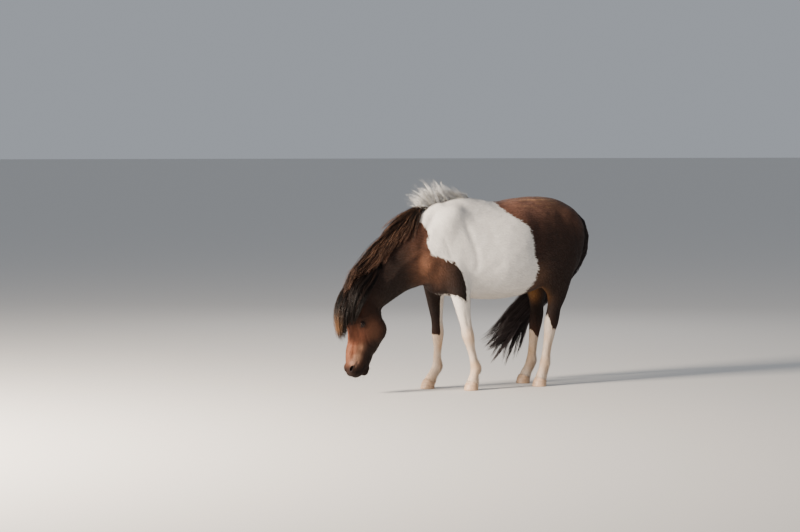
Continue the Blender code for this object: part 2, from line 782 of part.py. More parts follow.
def feather_locks(pose, side, skin, rng):
    """Three short locks behind a fetlock."""
    length, wide, thin = FEATHER
    middle = Vector((pose[-2][1], 0.130 * side, FETLOCK))
    made = []
    for turn in FEATHER_TURNS:
        out = Vector((math.cos(turn), math.sin(turn), 0))
        root, normal, _, _ = skin.ray_cast(middle + out * 0.2, -out)
        heading = (Vector((0, 0, -1)) - out * 0.05).normalized()
        points = [root - (normal + heading * 1.4) * FEATHER_SINK]
        for k in range(4):
            points.append(root + heading * length * k / 3 + normal * 0.005)
        made.append(Lock(points, [normal] * 5, wide, thin))
    return made


# ---------------------------------------------------------------- forelock and tail
# Where a bundle of long hair runs: points along its middle, with the half width and the
# half thickness of the whole bundle there.
Hair = namedtuple("Hair", "x y z wide thin")
FORELOCK = (
    Hair(-1.180, 0.000, 0.735, 0.022, 0.014),
    Hair(-1.245, -0.012, 0.715, 0.040, 0.020),
    Hair(-1.298, -0.028, 0.640, 0.052, 0.034),
    Hair(-1.312, -0.040, 0.545, 0.056, 0.040),
    Hair(-1.310, -0.046, 0.450, 0.050, 0.036),
    Hair(-1.298, -0.048, 0.370, 0.034, 0.024),
)
TAIL = (
    Hair(0.640, 0.000, 1.200, 0.046, 0.040),
    Hair(0.715, 0.015, 1.130, 0.050, 0.042),
    Hair(0.752, 0.050, 1.000, 0.060, 0.046),
    Hair(0.720, 0.130, 0.860, 0.072, 0.050),
    Hair(0.620, 0.225, 0.725, 0.086, 0.050),
    Hair(0.480, 0.285, 0.590, 0.102, 0.046),
    Hair(0.360, 0.300, 0.475, 0.112, 0.044),
    Hair(0.255, 0.300, 0.375, 0.108, 0.040),
    Hair(0.145, 0.298, 0.262, 0.104, 0.034),
)
FORELOCK_THIN_AXIS, TAIL_THIN_AXIS = Vector((-0.9, 0.0, 0.3)), Vector((0.0, 1.0, 0.0))
TAIL_CORE, CORE_SIZE = 0.46, 0.62  # the core's share of the tail's length and thickness
GOLDEN_ANGLE = 2.399963
# A bundle's locks: how many, where along it they root and end, half width and thickness.
Bundle = namedtuple("Bundle", "count roots tips wide thin")
FORELOCK_LOCKS = Bundle(8, (0.0, 0.10), (0.80, 1.0), 0.023, 0.009)
TAIL_LOCKS = Bundle(18, (0.12, 0.38), (0.80, 1.0), 0.032, 0.012)


def bundle_frames(path, thin_axis, steps=4):
    """(middle, across, thin) along a bundle of hair, each as long as the bundle is there."""
    rings = blend_stations(path, steps)
    frames = []
    for i, h in enumerate(rings):
        a, b = rings[max(i - 1, 0)], rings[min(i + 1, len(rings) - 1)]
        along = Vector((b.x - a.x, b.y - a.y, b.z - a.z)).normalized()
        thin = (thin_axis - along * thin_axis.dot(along)).normalized()
        frames.append((Vector((h.x, h.y, h.z)), along.cross(thin) * h.wide, thin * h.thin))
    return frames


def frame_at(frames, s):
    """Reads the bundle at a share s of its length."""
    k = min(s, 0.9999) * (len(frames) - 1)
    i = int(k)
    return [a.lerp(b, k - i) for a, b in zip(frames[i], frames[i + 1])]


def bundle_core(name, frames, share, size, sides=12, count=9):
    """The core of a bundle: its first share, size times as thick, ending in a point."""
    loops = []
    for i in range(count):
        s = i / count
        middle, across, thin = frame_at(frames, s * share)
        fall = size * (1 - 0.5 * s)
        loops.append(
            [
                middle + (across * math.cos(t) + thin * math.sin(t)) * fall
                for t in (math.tau * k / sides for k in range(sides))
            ]
        )
    bm = bmesh.new()
    loft(bm, [*loops, [frame_at(frames, share)[0]]])
    return new_object(name, bm)


def bundle_locks(frames, bundle, trees, rng, steps=5):
    """Locks that leave the middle of a bundle one after another and fill it evenly."""
    made = []
    start, end = bundle.roots
    for i in range(bundle.count):
        turn = i * GOLDEN_ANGLE
        u, v = math.cos(turn), math.sin(turn)
        reach = math.sqrt((i + 0.5) / bundle.count)
        first = start + (end - start) * (i * 7 % bundle.count) / bundle.count
        last = rng.uniform(*bundle.tips)
        points, normals = [], []
        for k in range(steps + 1):
            s = k / steps
            middle, across, thin = frame_at(frames, first + (last - first) * s)
            out = reach * min(0.2 + 2.0 * s, 1.0)
            point = middle + (across * u + thin * v) * out
            if k:
                point = raised(trees, point, LOCK_CLEAR)
            points.append(point)
            normals.append((thin.normalized() * v * 0.8 + across.normalized() * u * 0.3).normalized())
        made.append(Lock(points, normals, bundle.wide * rng.uniform(0.8, 1.2), bundle.thin))
    return made


# ---------------------------------------------------------------- the horse
def main():
    for obj in list(bpy.data.objects):
        bpy.data.objects.remove(obj)

    brown = material("brown_coat", BROWN, 0.75)
    dark = material("dark_coat", DARK_BROWN, 0.75)
    white = material("white_coat", WHITE, 0.80)
    horn = material("horn", HORN, 0.45)
    eye_dark = material("eye", EYE_DARK, 0.10)

    body = body_flesh()
    fine = head_flesh()
    legs = [foreleg_block(s) for s in (LEFT, RIGHT)] + [hindleg_block(s) for s in (LEFT, RIGHT)]
    head_space = part_of(fine, "head_space", brown, head_block())
    head = make_head(head_space)
    neck = part_of(body, "neck", brown, neck_block(), [head_block()])
    neck_space = copy_of(neck, "neck_space")
    part_of(body, "torso", white, [], [neck_block(), *legs])

    rng = random.Random(SEED)
    skin = [surface_of(body), surface_of(fine)]
    ears = []
    for side, hand in ((LEFT, "left"), (RIGHT, "right")):
        for leg, block, pose, split in (
            ("foreleg", foreleg_block(side), FORE_POSE[side], KNEE_CUT),
            ("hindleg", hindleg_block(side), HIND_POSE[side], HOCK_CUT),
        ):
            lower = make_leg(body, f"{leg}_{hand}", block, pose, side, split, white, horn)
            grow_on(lower, feather_locks(pose, side, skin[0], rng))
        ball(f"eye_{hand}", mirrored(EYE_CENTRE, side), EYE_RADIUS, eye_dark)
        ears.append(make_ear(f"ear_{hand}", side, dark, head))

    over_ears = [*skin, *(surface_of(ear) for ear in ears)]
    mane = [lock for stretch in MANES for lock in mane_locks(stretch, over_ears, rng)]
    forelock = bundle_locks(bundle_frames(FORELOCK, FORELOCK_THIN_AXIS), FORELOCK_LOCKS, over_ears, rng)
    frames = bundle_frames(TAIL, TAIL_THIN_AXIS)
    tail = bundle_core("tail", frames, TAIL_CORE, CORE_SIZE)
    tail.data.materials.append(dark)
    near_ears = [swollen(ear, 2 * HAIR_GAP) for ear in ears]
    grow_on(head, forelock, [swollen(neck_space, HAIR_GAP), *near_ears])
    near_ears = [swollen(ear, 2 * HAIR_GAP) for ear in ears]
    near_forelock = [make_lock(lock, HAIR_GAP) for lock in forelock]
    grow_on(neck, mane, [swollen(head_space, HAIR_GAP), *near_ears, *near_forelock])
    grow_on(tail, bundle_locks(frames, TAIL_LOCKS, skin, rng), [swollen(body, HAIR_GAP)])

    for helper in (body, fine, head_space, neck_space, *ears):
        bpy.data.objects.remove(helper)
    for obj in bpy.data.objects:
        obj.data.transform(Matrix.Translation(-OUTLINE_CENTRE))
        obj.data.shade_smooth()
        obj.data.set_sharp_from_angle(angle=math.radians(40))


if __name__ == "__main__":
    main()
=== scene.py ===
import math

import bmesh
import bpy
import numpy as np
from mathutils import Matrix, Vector
from mathutils.bvhtree import BVHTree


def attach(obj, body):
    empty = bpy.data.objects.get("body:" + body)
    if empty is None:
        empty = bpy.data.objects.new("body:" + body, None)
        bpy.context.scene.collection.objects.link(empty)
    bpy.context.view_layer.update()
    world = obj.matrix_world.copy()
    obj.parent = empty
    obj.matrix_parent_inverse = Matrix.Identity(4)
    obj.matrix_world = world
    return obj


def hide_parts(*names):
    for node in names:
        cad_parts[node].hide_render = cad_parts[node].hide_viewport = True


# A grazing Icelandic horse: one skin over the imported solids, a coat of small tufts on it, and
# the mane, forelock and tail strand by strand. Every table below is in metres from a point on
# the ground under the barrel, and finishPiece moves each mesh to the frame's own origin.

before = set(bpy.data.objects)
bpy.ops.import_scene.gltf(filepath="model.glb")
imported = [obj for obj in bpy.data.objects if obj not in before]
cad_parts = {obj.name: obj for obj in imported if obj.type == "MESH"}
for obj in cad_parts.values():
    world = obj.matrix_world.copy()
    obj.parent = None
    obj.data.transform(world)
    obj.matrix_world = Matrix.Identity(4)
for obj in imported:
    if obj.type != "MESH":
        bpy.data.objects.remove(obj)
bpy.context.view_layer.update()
outlineCentre = Vector((-0.276, 0.023, 0.0))
rng = np.random.default_rng(27)
print("frame loaded")


def linearColour(code):
    parts = [int(code[i : i + 2], 16) / 255 for i in (1, 3, 5)]
    return np.array([c / 12.92 if c <= 0.04045 else ((c + 0.055) / 1.055) ** 2.4 for c in parts])


def opaque(code):
    return (*linearColour(code), 1.0)


def setInputs(tree, node, inputs):
    # a socket given as a value is linked
    for name, value in inputs.items():
        if isinstance(value, bpy.types.NodeSocket):
            tree.links.new(value, node.inputs[name])
        else:
            node.inputs[name].default_value = value


def addNode(tree, kind, settings=None, inputs=None):
    node = tree.nodes.new(kind)
    for name, value in (settings or {}).items():
        setattr(node, name, value)
    setInputs(tree, node, inputs or {})
    return node


def newMaterial(name, shaderInputs):
    made = bpy.data.materials.new(name)
    made.use_nodes = True
    shader = made.node_tree.nodes["Principled BSDF"]
    setInputs(made.node_tree, shader, shaderInputs)
    return made, made.node_tree, shader


def linkedObject(name, data):
    obj = bpy.data.objects.new(name, data)
    bpy.context.scene.collection.objects.link(obj)
    return obj


def meshObject(name, bm, *materials):
    mesh = bpy.data.meshes.new(name)
    bm.to_mesh(mesh)
    bm.free()
    for material in materials:
        mesh.materials.append(material)
    return linkedObject(name, mesh)


def applyModifiers(obj, *modifiers):
    for kind, settings in modifiers:
        modifier = obj.modifiers.new(kind.title(), kind)
        for name, value in settings.items():
            setattr(modifier, name, value)
    evaluated = obj.evaluated_get(bpy.context.evaluated_depsgraph_get())
    made, old = bpy.data.meshes.new_from_object(evaluated), obj.data
    obj.modifiers.clear()
    obj.data = made
    made.name = obj.name
    bpy.data.meshes.remove(old)
    return obj


def finishPiece(obj, slotName, *nodes):
    obj.data.transform(Matrix.Translation(-outlineCentre))
    obj.data.shade_smooth()
    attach(obj, "root")
    if nodes:
        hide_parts(*nodes)


def pointsOf(mesh, field="co"):
    values = np.empty(len(mesh.vertices) * 3, np.float32)
    mesh.vertices.foreach_get(field, values)
    return values.reshape(-1, 3).astype(float)


def setPlaces(obj, values):
    obj.data.vertices.foreach_set("co", np.ascontiguousarray(values, np.float32).ravel())
    obj.data.update()


def addColours(mesh, name, values):
    layer = mesh.color_attributes.new(name=name, type="FLOAT_COLOR", domain="POINT")
    filled = np.column_stack((values, np.ones(len(values))))
    layer.data.foreach_set("color", filled.astype(np.float32).ravel())


def addFloats(mesh, name, values):
    layer = mesh.attributes.new(name=name, type="FLOAT", domain="POINT")
    layer.data.foreach_set("value", values.astype(np.float32))


def smoothStep(low, high, value):
    t = np.clip((value - low) / (high - low), 0, 1)
    return t * t * (3 - 2 * t)


def hump(value, centre, width):
    return np.exp(-(((value - centre) / width) ** 2))


def unit(vectors):
    return vectors / np.maximum(np.linalg.norm(vectors, axis=-1, keepdims=True), 1e-9)


def onSide(place, side):
    # a place given for the right side, or its mirror place
    return np.array(place) * (1, side, 1)


def bothSides(places):
    # left places moved over to the right side
    return places * (1, 0, 1) + np.abs(places) * (0, 1, 0)


def latticeNoise(points, size, seed=0):
    # smooth noise from -1 to 1 whose patches are about size across
    cell = points / size
    base = np.floor(cell).astype(np.int64)
    part = cell - base
    part = part * part * (3 - 2 * part)
    total = 0.0
    for corner in np.ndindex(2, 2, 2):
        x, y, z = np.moveaxis(base + corner, -1, 0)
        mixed = (x * 73856093) ^ (y * 19349663) ^ (z * 83492791) ^ (seed * 2654435761)
        mixed = (mixed ^ (mixed >> 13)) * 1274126177
        value = ((mixed ^ (mixed >> 16)) & 0xFFFF) / 32767.5 - 1
        weight = np.prod(np.where(np.array(corner) == 1, part, 1 - part), axis=-1)
        total = total + value * weight
    return total


def curveThrough(a, b, c, d, t):
    # a smooth curve from b to c, for t from 0 to 1, that comes from a and goes on to d
    return 0.5 * (2 * b + (c - a) * t + (2 * a - 5 * b + 4 * c - d) * t**2 + (3 * b - a - 3 * c + d) * t**3)


def lineDistance(places, path):
    # how far each place is from a line through the points of path
    path = np.asarray(path, float)
    if len(path) == 1:
        return np.linalg.norm(places - path[0], axis=1)
    best = np.full(len(places), 1e9)
    for a, b in zip(path, path[1:]):
        t = np.clip(((places - a) @ (b - a)) / ((b - a) @ (b - a)), 0, 1)
        best = np.minimum(best, np.linalg.norm(places - a - t[:, None] * (b - a), axis=1))
    return best


def surfaceTree(obj):
    bm = bmesh.new()
    bm.from_mesh(obj.data)
    tree = BVHTree.FromBMesh(bm)
    bm.free()
    return tree


def nearestOn(tree, places):
    found = [tree.find_nearest(p)[:2] for p in places]
    return np.array([f[0] for f in found]), np.array([f[1] for f in found])


# ring rows: x, z, reach to the dorsal side, reach to the other side, half width, y, and how
# square the two halves are
trunkRows = [
    (-0.735, 0.9, 0.11, 0.09, 0.06),
    (-0.69, 0.93, 0.23, 0.18, 0.135),
    (-0.6, 0.96, 0.31, 0.262, 0.185),
    (-0.48, 0.96, 0.385, 0.288, 0.212, 0.0, 1.8),
    (-0.35, 0.955, 0.422, 0.3, 0.235, 0.0, 1.7),
    (-0.2, 0.945, 0.415, 0.308, 0.264, 0.0, 1.8),
    (-0.05, 0.94, 0.396, 0.31, 0.29, 0.0, 2.0, 2.1),
    (0.1, 0.945, 0.404, 0.3, 0.292, 0.0, 2.1, 2.1),
    (0.22, 0.97, 0.405, 0.288, 0.272, 0.0, 2.1),
    (0.34, 1.01, 0.374, 0.262, 0.25, 0.0, 2.1),
    (0.46, 1.04, 0.33, 0.24, 0.235, 0.0, 2.1),
    (0.56, 1.05, 0.27, 0.23, 0.205, 0.0, 2.1),
    (0.64, 1.045, 0.195, 0.2, 0.155),
    (0.695, 1.035, 0.11, 0.13, 0.085),
]
neckRows = [
    (-0.42, 1.08, 0.29, 0.27, 0.185, 0.0, 1.7),
    (-0.56, 1.03, 0.268, 0.262, 0.178, 0.0, 1.7),
    (-0.7, 0.96, 0.232, 0.232, 0.15, 0.0, 1.7),
    (-0.83, 0.885, 0.205, 0.19, 0.122, 0.0, 1.7),
    (-0.95, 0.79, 0.185, 0.158, 0.103, 0.0, 1.7),
    (-1.05, 0.7, 0.158, 0.138, 0.09, 0.0, 1.8),
    (-1.1, 0.625, 0.122, 0.125, 0.082),
    (-1.122, 0.56, 0.08, 0.1, 0.07),
]
faceRows = [
    (-1.11, 0.755, 0.05, 0.06, 0.046),
    (-1.112, 0.71, 0.084, 0.11, 0.066),
    (-1.115, 0.655, 0.092, 0.135, 0.083),
    (-1.12, 0.59, 0.097, 0.15, 0.093, 0.0, 2.3),
    (-1.125, 0.53, 0.097, 0.157, 0.098, 0.0, 2.6, 2.2),
    (-1.125, 0.485, 0.097, 0.17, 0.095, 0.0, 2.6, 2.3),
    (-1.125, 0.44, 0.095, 0.176, 0.086, 0.0, 2.6, 2.4),
    (-1.13, 0.4, 0.092, 0.17, 0.077, 0.0, 2.6, 2.4),
    (-1.137, 0.35, 0.09, 0.142, 0.065, 0.0, 2.5, 2.3),
    (-1.15, 0.3, 0.092, 0.12, 0.056, 0.0, 2.5),
    (-1.158, 0.25, 0.088, 0.112, 0.051, 0.0, 2.4),
    (-1.16, 0.2, 0.081, 0.094, 0.052, 0.0, 2.2),
    (-1.158, 0.165, 0.066, 0.072, 0.049),
    (-1.155, 0.14, 0.046, 0.05, 0.041),
    (-1.15, 0.127, 0.024, 0.028, 0.026),
]
# leg rows: height, reach to the front, to the back and to the sides, and distance from the middle
foreRows = [
    (0.84, 0.11, 0.11, 0.075, 0.15),
    (0.74, 0.088, 0.095, 0.068, 0.151),
    (0.64, 0.072, 0.076, 0.058, 0.147),
    (0.545, 0.057, 0.055, 0.048, 0.141),
    (0.46, 0.046, 0.044, 0.04, 0.137),
    (0.4, 0.052, 0.046, 0.045, 0.135),
    (0.355, 0.043, 0.044, 0.04, 0.133),
    (0.29, 0.032, 0.036, 0.029, 0.131),
    (0.215, 0.031, 0.037, 0.029, 0.131),
    (0.16, 0.037, 0.046, 0.036, 0.13),
    (0.112, 0.033, 0.038, 0.032, 0.13),
    (0.072, 0.042, 0.044, 0.04, 0.13),
    (0.035, 0.04, 0.04, 0.04, 0.13),
]
hindRows = [
    (1.08, 0.17, 0.19, 0.085, 0.14),
    (0.96, 0.19, 0.195, 0.098, 0.145),
    (0.85, 0.175, 0.17, 0.094, 0.145),
    (0.75, 0.13, 0.12, 0.08, 0.142),
    (0.66, 0.088, 0.08, 0.063, 0.137),
    (0.575, 0.06, 0.06, 0.049, 0.133),
    (0.505, 0.054, 0.066, 0.044, 0.13),
    (0.445, 0.054, 0.058, 0.045, 0.129),
    (0.385, 0.044, 0.05, 0.038, 0.129),
    (0.3, 0.037, 0.041, 0.031, 0.129),
    (0.225, 0.035, 0.039, 0.031, 0.129),
    (0.17, 0.039, 0.046, 0.037, 0.129),
    (0.118, 0.035, 0.039, 0.033, 0.129),
    (0.076, 0.042, 0.043, 0.04, 0.129),
    (0.035, 0.04, 0.04, 0.04, 0.129),
]
# the height and x of each leg's joints, for the left and the right side
forePose = {
    -1: [(0.84, -0.44), (0.64, -0.398), (0.4, -0.337), (0.16, -0.274), (0.035, -0.301)],
    1: [(0.84, -0.455), (0.64, -0.44), (0.4, -0.422), (0.16, -0.436), (0.035, -0.506)],
}
hindPose = {
    -1: [(1.08, 0.42), (0.85, 0.405), (0.66, 0.418), (0.505, 0.378), (0.17, 0.316), (0.035, 0.276)],
    1: [(1.08, 0.425), (0.85, 0.412), (0.66, 0.425), (0.505, 0.412), (0.17, 0.368), (0.035, 0.304)],
}
# muscles and bones that stand proud: centre, radii and tilt in degrees, on both sides
bodyMasses = [
    (-0.5, 0.104, 1.09, 0.15, 0.087, 0.25, 32),  # shoulder blade
    (-0.64, 0.1, 0.94, 0.09, 0.08, 0.13, 15),  # point of the shoulder
    (-0.45, 0.14, 0.89, 0.135, 0.08, 0.14, -20),  # triceps
    (-0.6, 0.065, 0.845, 0.1, 0.075, 0.08, 20),  # breast
    (0.33, 0.12, 1.16, 0.17, 0.105, 0.125, -10),  # point of the hip
    (0.48, 0.11, 1.15, 0.16, 0.108, 0.15, 20),  # croup
    (0.55, 0.1, 0.98, 0.105, 0.088, 0.19, 8),  # buttock
    (0.3, 0.16, 0.86, 0.095, 0.07, 0.125, -25),  # stifle
    (0.43, 0.14, 0.7, 0.08, 0.058, 0.13, 12),  # second thigh
]
headMasses = [
    (-1.03, 0.048, 0.45, 0.08, 0.036, 0.092, 8),  # round cheek
    (-1.162, 0.068, 0.502, 0.05, 0.033, 0.052, 0),  # rim of the eye socket
    (-1.166, 0.083, 0.497, 0.026, 0.026, 0.026, 0),  # the eyeball's bulge
    (-1.178, 0.062, 0.537, 0.04, 0.034, 0.038, 0),  # brow
    (-1.206, 0.034, 0.195, 0.036, 0.026, 0.046, 12),  # wing of the nostril
    (-1.19, 0.018, 0.155, 0.042, 0.034, 0.03, 0),  # upper lip
    (-1.112, 0.014, 0.158, 0.034, 0.028, 0.028, 0),  # lower lip
    (-1.092, 0.001, 0.182, 0.03, 0.03, 0.032, 0),  # chin
    (-1.14, 0.055, 0.385, 0.016, 0.015, 0.078, 6),  # facial crest
    (-1.12, 0.048, 0.69, 0.045, 0.034, 0.045, 0),  # root of the ear
]
poll, throat = Vector((-1.14, 0.0, 0.745)), Vector((-0.955, 0.0, 0.53))
headSlope = (throat - poll).normalized()
headNormal = np.array([headSlope.z, 0.0, -headSlope.x])
eyeCentre, eyeRadius = Vector((-1.166, 0.083, 0.497)), 0.0205


def blendRows(rows, steps):
    # a smooth curve through the rows of a table, whose last three values may be left out
    usual = (0.0, 2.0, 2.0)
    full = np.array([[*row, *usual[len(row) - 5 :]] for row in rows])
    padded = np.vstack([full[:1], full, full[-1:]])
    shares = np.arange(steps) / steps
    made = [curveThrough(*padded[i : i + 4], t) for i in range(len(full) - 1) for t in shares]
    return [*made, full[-1]]


def sweepRings(bm, rows, dorsal, sides=32):
    rows = blendRows(rows, 5)
    centres = [Vector((r[0], r[5], r[1])) for r in rows]
    last = None
    for i, (x, z, up, down, side, y, roof, floor) in enumerate(rows):
        along = (centres[min(i + 1, len(rows) - 1)] - centres[max(i - 1, 0)]).normalized()
        upward = Vector((0, 1, 0)).cross(along).normalized()
        if upward.dot(dorsal) < 0:
            upward.negate()
        across = along.cross(upward).normalized()
        verts = bmesh.ops.create_circle(bm, segments=sides, radius=1.0)["verts"]
        edges = list({e for v in verts for e in v.link_edges})
        for v in verts:
            c, s = v.co.x, v.co.y
            power = 2 / (roof if s > 0 else floor)
            reach = up if s > 0 else down
            v.co = (
                centres[i]
                + across * side * math.copysign(abs(c) ** power, c)
                + upward * reach * math.copysign(abs(s) ** power, s)
            )
        if last:
            bmesh.ops.bridge_loops(bm, edges=last[1] + edges)
        else:
            bmesh.ops.contextual_create(bm, geom=verts)
        last = (verts, edges)
    bmesh.ops.contextual_create(bm, geom=last[0])


def addMasses(bm, masses):
    for x, y, z, rx, ry, rz, tilt in masses:
        for side in (-1, 1):
            place = (
                Matrix.Translation((x, y * side, z))
                @ Matrix.Rotation(math.radians(tilt), 4, "Y")
                @ Matrix.Diagonal((rx, ry, rz, 1.0))
            )
            bmesh.ops.create_icosphere(bm, subdivisions=4, radius=1.0, matrix=place)


def middleOf(pose, z):
    heights, places = zip(*pose[::-1])
    return np.interp(z, heights, places)


def outOf(rows, z):
    return np.interp(z, [r[0] for r in rows[::-1]], [r[4] for r in rows[::-1]])


def legRows(rows, pose, side):
    return [
        (float(middleOf(pose, z)), z, front, back, wide, out * side, 2.0, 2.0)
        for z, front, back, wide, out in rows
    ]


def fuseMasses(name, bm, voxel, blend, softness):
    # one closed surface whose forms melt into each other over about blend
    bmesh.ops.recalc_face_normals(bm, faces=bm.faces)
    obj = applyModifiers(meshObject(name, bm), ("REMESH", {"mode": "VOXEL", "voxel_size": voxel}))
    group = obj.vertex_groups.new(name="soft")
    for i, weight in enumerate(softness(pointsOf(obj.data))):
        group.add([i], weight, "REPLACE")
    times = round((2 * blend / voxel) ** 2)
    return applyModifiers(obj, ("SMOOTH", {"factor": 0.5, "iterations": times, "vertex_group": "soft"}))


def bodySoftness(places):
    return np.clip((places[:, 2] - 0.42) / 0.4, 0.06, 1.0)  # less on the thin legs


def headSoftness(places):
    near = np.linalg.norm(bothSides(places) - np.array(eyeCentre), axis=1) < 2 * eyeRadius
    return np.where(near, 0.35, 1.0)


skinSizes = {
    "bodyVoxel": 0.009,
    "bodyBlend": 0.045,
    "headVoxel": 0.004,
    "headBlend": 0.008,
    "skinVoxel": 0.0112,
    "coatDepth": 0.0035,  # the skin lies this far inside the solids, for the coat to fill
    "faceDepth": 0.0016,
}
upwards, aheadUp, ahead = Vector((0, 0, 1)), Vector((-0.6, 0, 0.8)), Vector((-1, 0, 0))
bodyBm = bmesh.new()
sweepRings(bodyBm, trunkRows, upwards)
sweepRings(bodyBm, neckRows, aheadUp)
for side in (-1, 1):
    sweepRings(bodyBm, legRows(foreRows, forePose[side], side), ahead, 24)
    sweepRings(bodyBm, legRows(hindRows, hindPose[side], side), ahead, 24)
addMasses(bodyBm, bodyMasses)
body = fuseMasses("bodyFlesh", bodyBm, skinSizes["bodyVoxel"], skinSizes["bodyBlend"], bodySoftness)
print("body fused", len(body.data.vertices))

headBm = bmesh.new()
sweepRings(headBm, neckRows[2:], aheadUp)
sweepRings(headBm, faceRows, ahead, 40)
addMasses(headBm, headMasses)
head = fuseMasses("headFlesh", headBm, skinSizes["headVoxel"], skinSizes["headBlend"], headSoftness)
print("head fused", len(head.data.vertices))

joined = bmesh.new()
joined.from_mesh(body.data)
joined.from_mesh(head.data)
remesh = {"mode": "VOXEL", "voxel_size": skinSizes["skinVoxel"]}
skin = applyModifiers(meshObject("skin", joined), ("REMESH", remesh))
print("skin joined", len(skin.data.vertices))


# lines along which the flesh stands out or falls in: reach, height, then the points
strokes = [
    (0.014, 0.006, (-1.156, 0.062, 0.45), (-1.152, 0.058, 0.38), (-1.158, 0.05, 0.33)),  # facial crest
    (0.018, -0.0065, (-1.19, 0.05, 0.44), (-1.205, 0.04, 0.35), (-1.212, 0.034, 0.27)),  # beside the nose
    (0.014, -0.006, (-1.13, 0.072, 0.42), (-1.098, 0.06, 0.355), (-1.05, 0.045, 0.335)),  # edge of the cheek
    (0.022, -0.0085, (-1.168, 0.066, 0.572)),  # hollow over the eye
    (0.013, 0.0065, (-1.176, 0.086, 0.535), (-1.13, 0.09, 0.55), (-1.085, 0.078, 0.57)),  # cheekbone arch
    (0.012, 0.003, (-1.04, 0.05, 0.36), (-1.075, 0.04, 0.29), (-1.09, 0.026, 0.225)),  # jaw
    (0.026, -0.008, (-1.0, 0.06, 0.59), (-0.955, 0.062, 0.54), (-0.94, 0.045, 0.48)),  # behind the cheek
    (0.005, 0.002, (-1.128, 0.055, 0.3), (-1.142, 0.056, 0.34), (-1.12, 0.068, 0.39)),  # facial vein
    (0.005, 0.0018, (-1.142, 0.056, 0.34), (-1.172, 0.05, 0.37), (-1.18, 0.058, 0.43)),
    (0.03, 0.005, (-1.045, 0.07, 0.47)),  # the cheek's muscle
    (0.012, -0.0035, (-1.205, 0.058, 0.205), (-1.18, 0.052, 0.235)),  # behind the nostril
    (0.008, -0.003, (-1.105, 0.0, 0.215), (-1.1, 0.02, 0.222)),  # chin groove
    (0.006, -0.0016, (-1.108, 0.04, 0.226), (-1.122, 0.05, 0.24)),  # creases by the mouth
    (0.004, -0.0012, (-1.1, 0.034, 0.232), (-1.112, 0.046, 0.25)),
    (0.045, -0.008, (-0.6, 0.11, 1.27), (-0.7, 0.13, 1.08), (-0.74, 0.11, 0.94)),  # before the shoulder
    (0.04, -0.004, (-0.38, 0.19, 1.16), (-0.33, 0.23, 1.0), (-0.32, 0.23, 0.88)),  # behind the shoulder
    (0.03, -0.0025, (-0.56, 0.19, 1.08), (-0.52, 0.2, 0.96)),  # along the blade's spine
    (0.035, 0.008, (-0.35, 0.18, 0.78)),  # elbow
    (0.028, -0.006, (-0.96, 0.07, 0.62), (-0.82, 0.1, 0.78), (-0.69, 0.09, 0.87)),  # jugular groove
    (0.03, 0.004, (-1.02, 0.09, 0.72), (-0.86, 0.12, 0.9), (-0.72, 0.14, 1.0)),  # neck muscle
    (0.026, -0.012, (-0.74, 0.0, 0.88), (-0.69, 0.0, 0.76), (-0.6, 0.0, 0.7)),  # breast cleft
    (0.07, -0.0065, (0.19, 0.26, 1.16), (0.17, 0.28, 1.0)),  # flank
    (0.044, 0.0045, (0.28, 0.21, 1.25)),  # point of the hip
    (0.026, -0.014, (0.7, 0.0, 1.02), (0.68, 0.0, 0.88), (0.62, 0.0, 0.76)),  # between the buttocks
    (0.024, -0.006, (0.52, 0.21, 1.16), (0.56, 0.19, 0.94), (0.52, 0.18, 0.79)),  # hamstring groove
    (0.034, -0.0022, (0.36, 0.24, 1.12), (0.34, 0.24, 0.96), (0.38, 0.22, 0.82)),
]
# the same on the legs, as distances from the leg's middle line: across, ahead, height
foreStrokes = [
    (0.014, 0.0035, (0.0, -0.05, 0.425), (0.0, -0.052, 0.385)),  # front of the knee
    (0.01, -0.0022, (0.03, -0.036, 0.4), (-0.03, -0.036, 0.4)),
    (0.011, 0.003, (0.04, 0.0, 0.41), (0.038, 0.004, 0.38)),
    (0.01, -0.0045, (0.03, 0.014, 0.34), (0.026, 0.012, 0.21)),  # before the tendons
    (0.01, -0.0045, (-0.03, 0.014, 0.34), (-0.026, 0.012, 0.21)),
    (0.014, 0.004, (0.028, 0.016, 0.155)),  # fetlock
    (0.014, 0.004, (-0.028, 0.016, 0.155)),
    (0.018, -0.0035, (0.045, -0.01, 0.56), (0.04, -0.006, 0.47)),  # forearm muscles
    (0.012, 0.004, (0.0, 0.048, 0.43), (0.0, 0.05, 0.4)),
]
hindStrokes = [
    (0.013, 0.006, (0.0, 0.062, 0.53), (0.0, 0.058, 0.49)),  # point of the hock
    (0.014, -0.006, (0.036, 0.03, 0.6), (0.034, 0.03, 0.5)),  # before the tendon
    (0.014, -0.006, (-0.036, 0.03, 0.6), (-0.034, 0.03, 0.5)),
    (0.014, 0.004, (-0.036, -0.022, 0.47), (-0.034, -0.018, 0.43)),  # inside of the hock
    (0.012, 0.003, (0.036, -0.02, 0.465)),
    (0.01, -0.0045, (0.03, 0.012, 0.37), (0.028, 0.012, 0.22)),
    (0.01, -0.0045, (-0.03, 0.012, 0.37), (-0.028, 0.012, 0.22)),
    (0.014, 0.004, (0.03, 0.016, 0.162)),
    (0.014, 0.004, (-0.03, 0.016, 0.162)),
]
mouthLine = [
    (-1.152, 0, 0.1), (-1.153, 0, 0.13), (-1.151, 0, 0.155), (-1.142, 0, 0.178), (-1.128, 0, 0.196),
    (-1.118, 0, 0.206),
]
lips = {"groove": 0.0042, "grooveWidth": 0.002, "rim": 0.0014, "rimAt": 0.006, "rimWidth": 0.003}
nostril = {
    "centre": (-1.226, 0.044, 0.19),
    "out": (-0.66, 0.72, -0.2),
    "long": 0.02,
    "wide": 0.0095,
    "depth": 0.02,
    "rim": 0.0024,
}
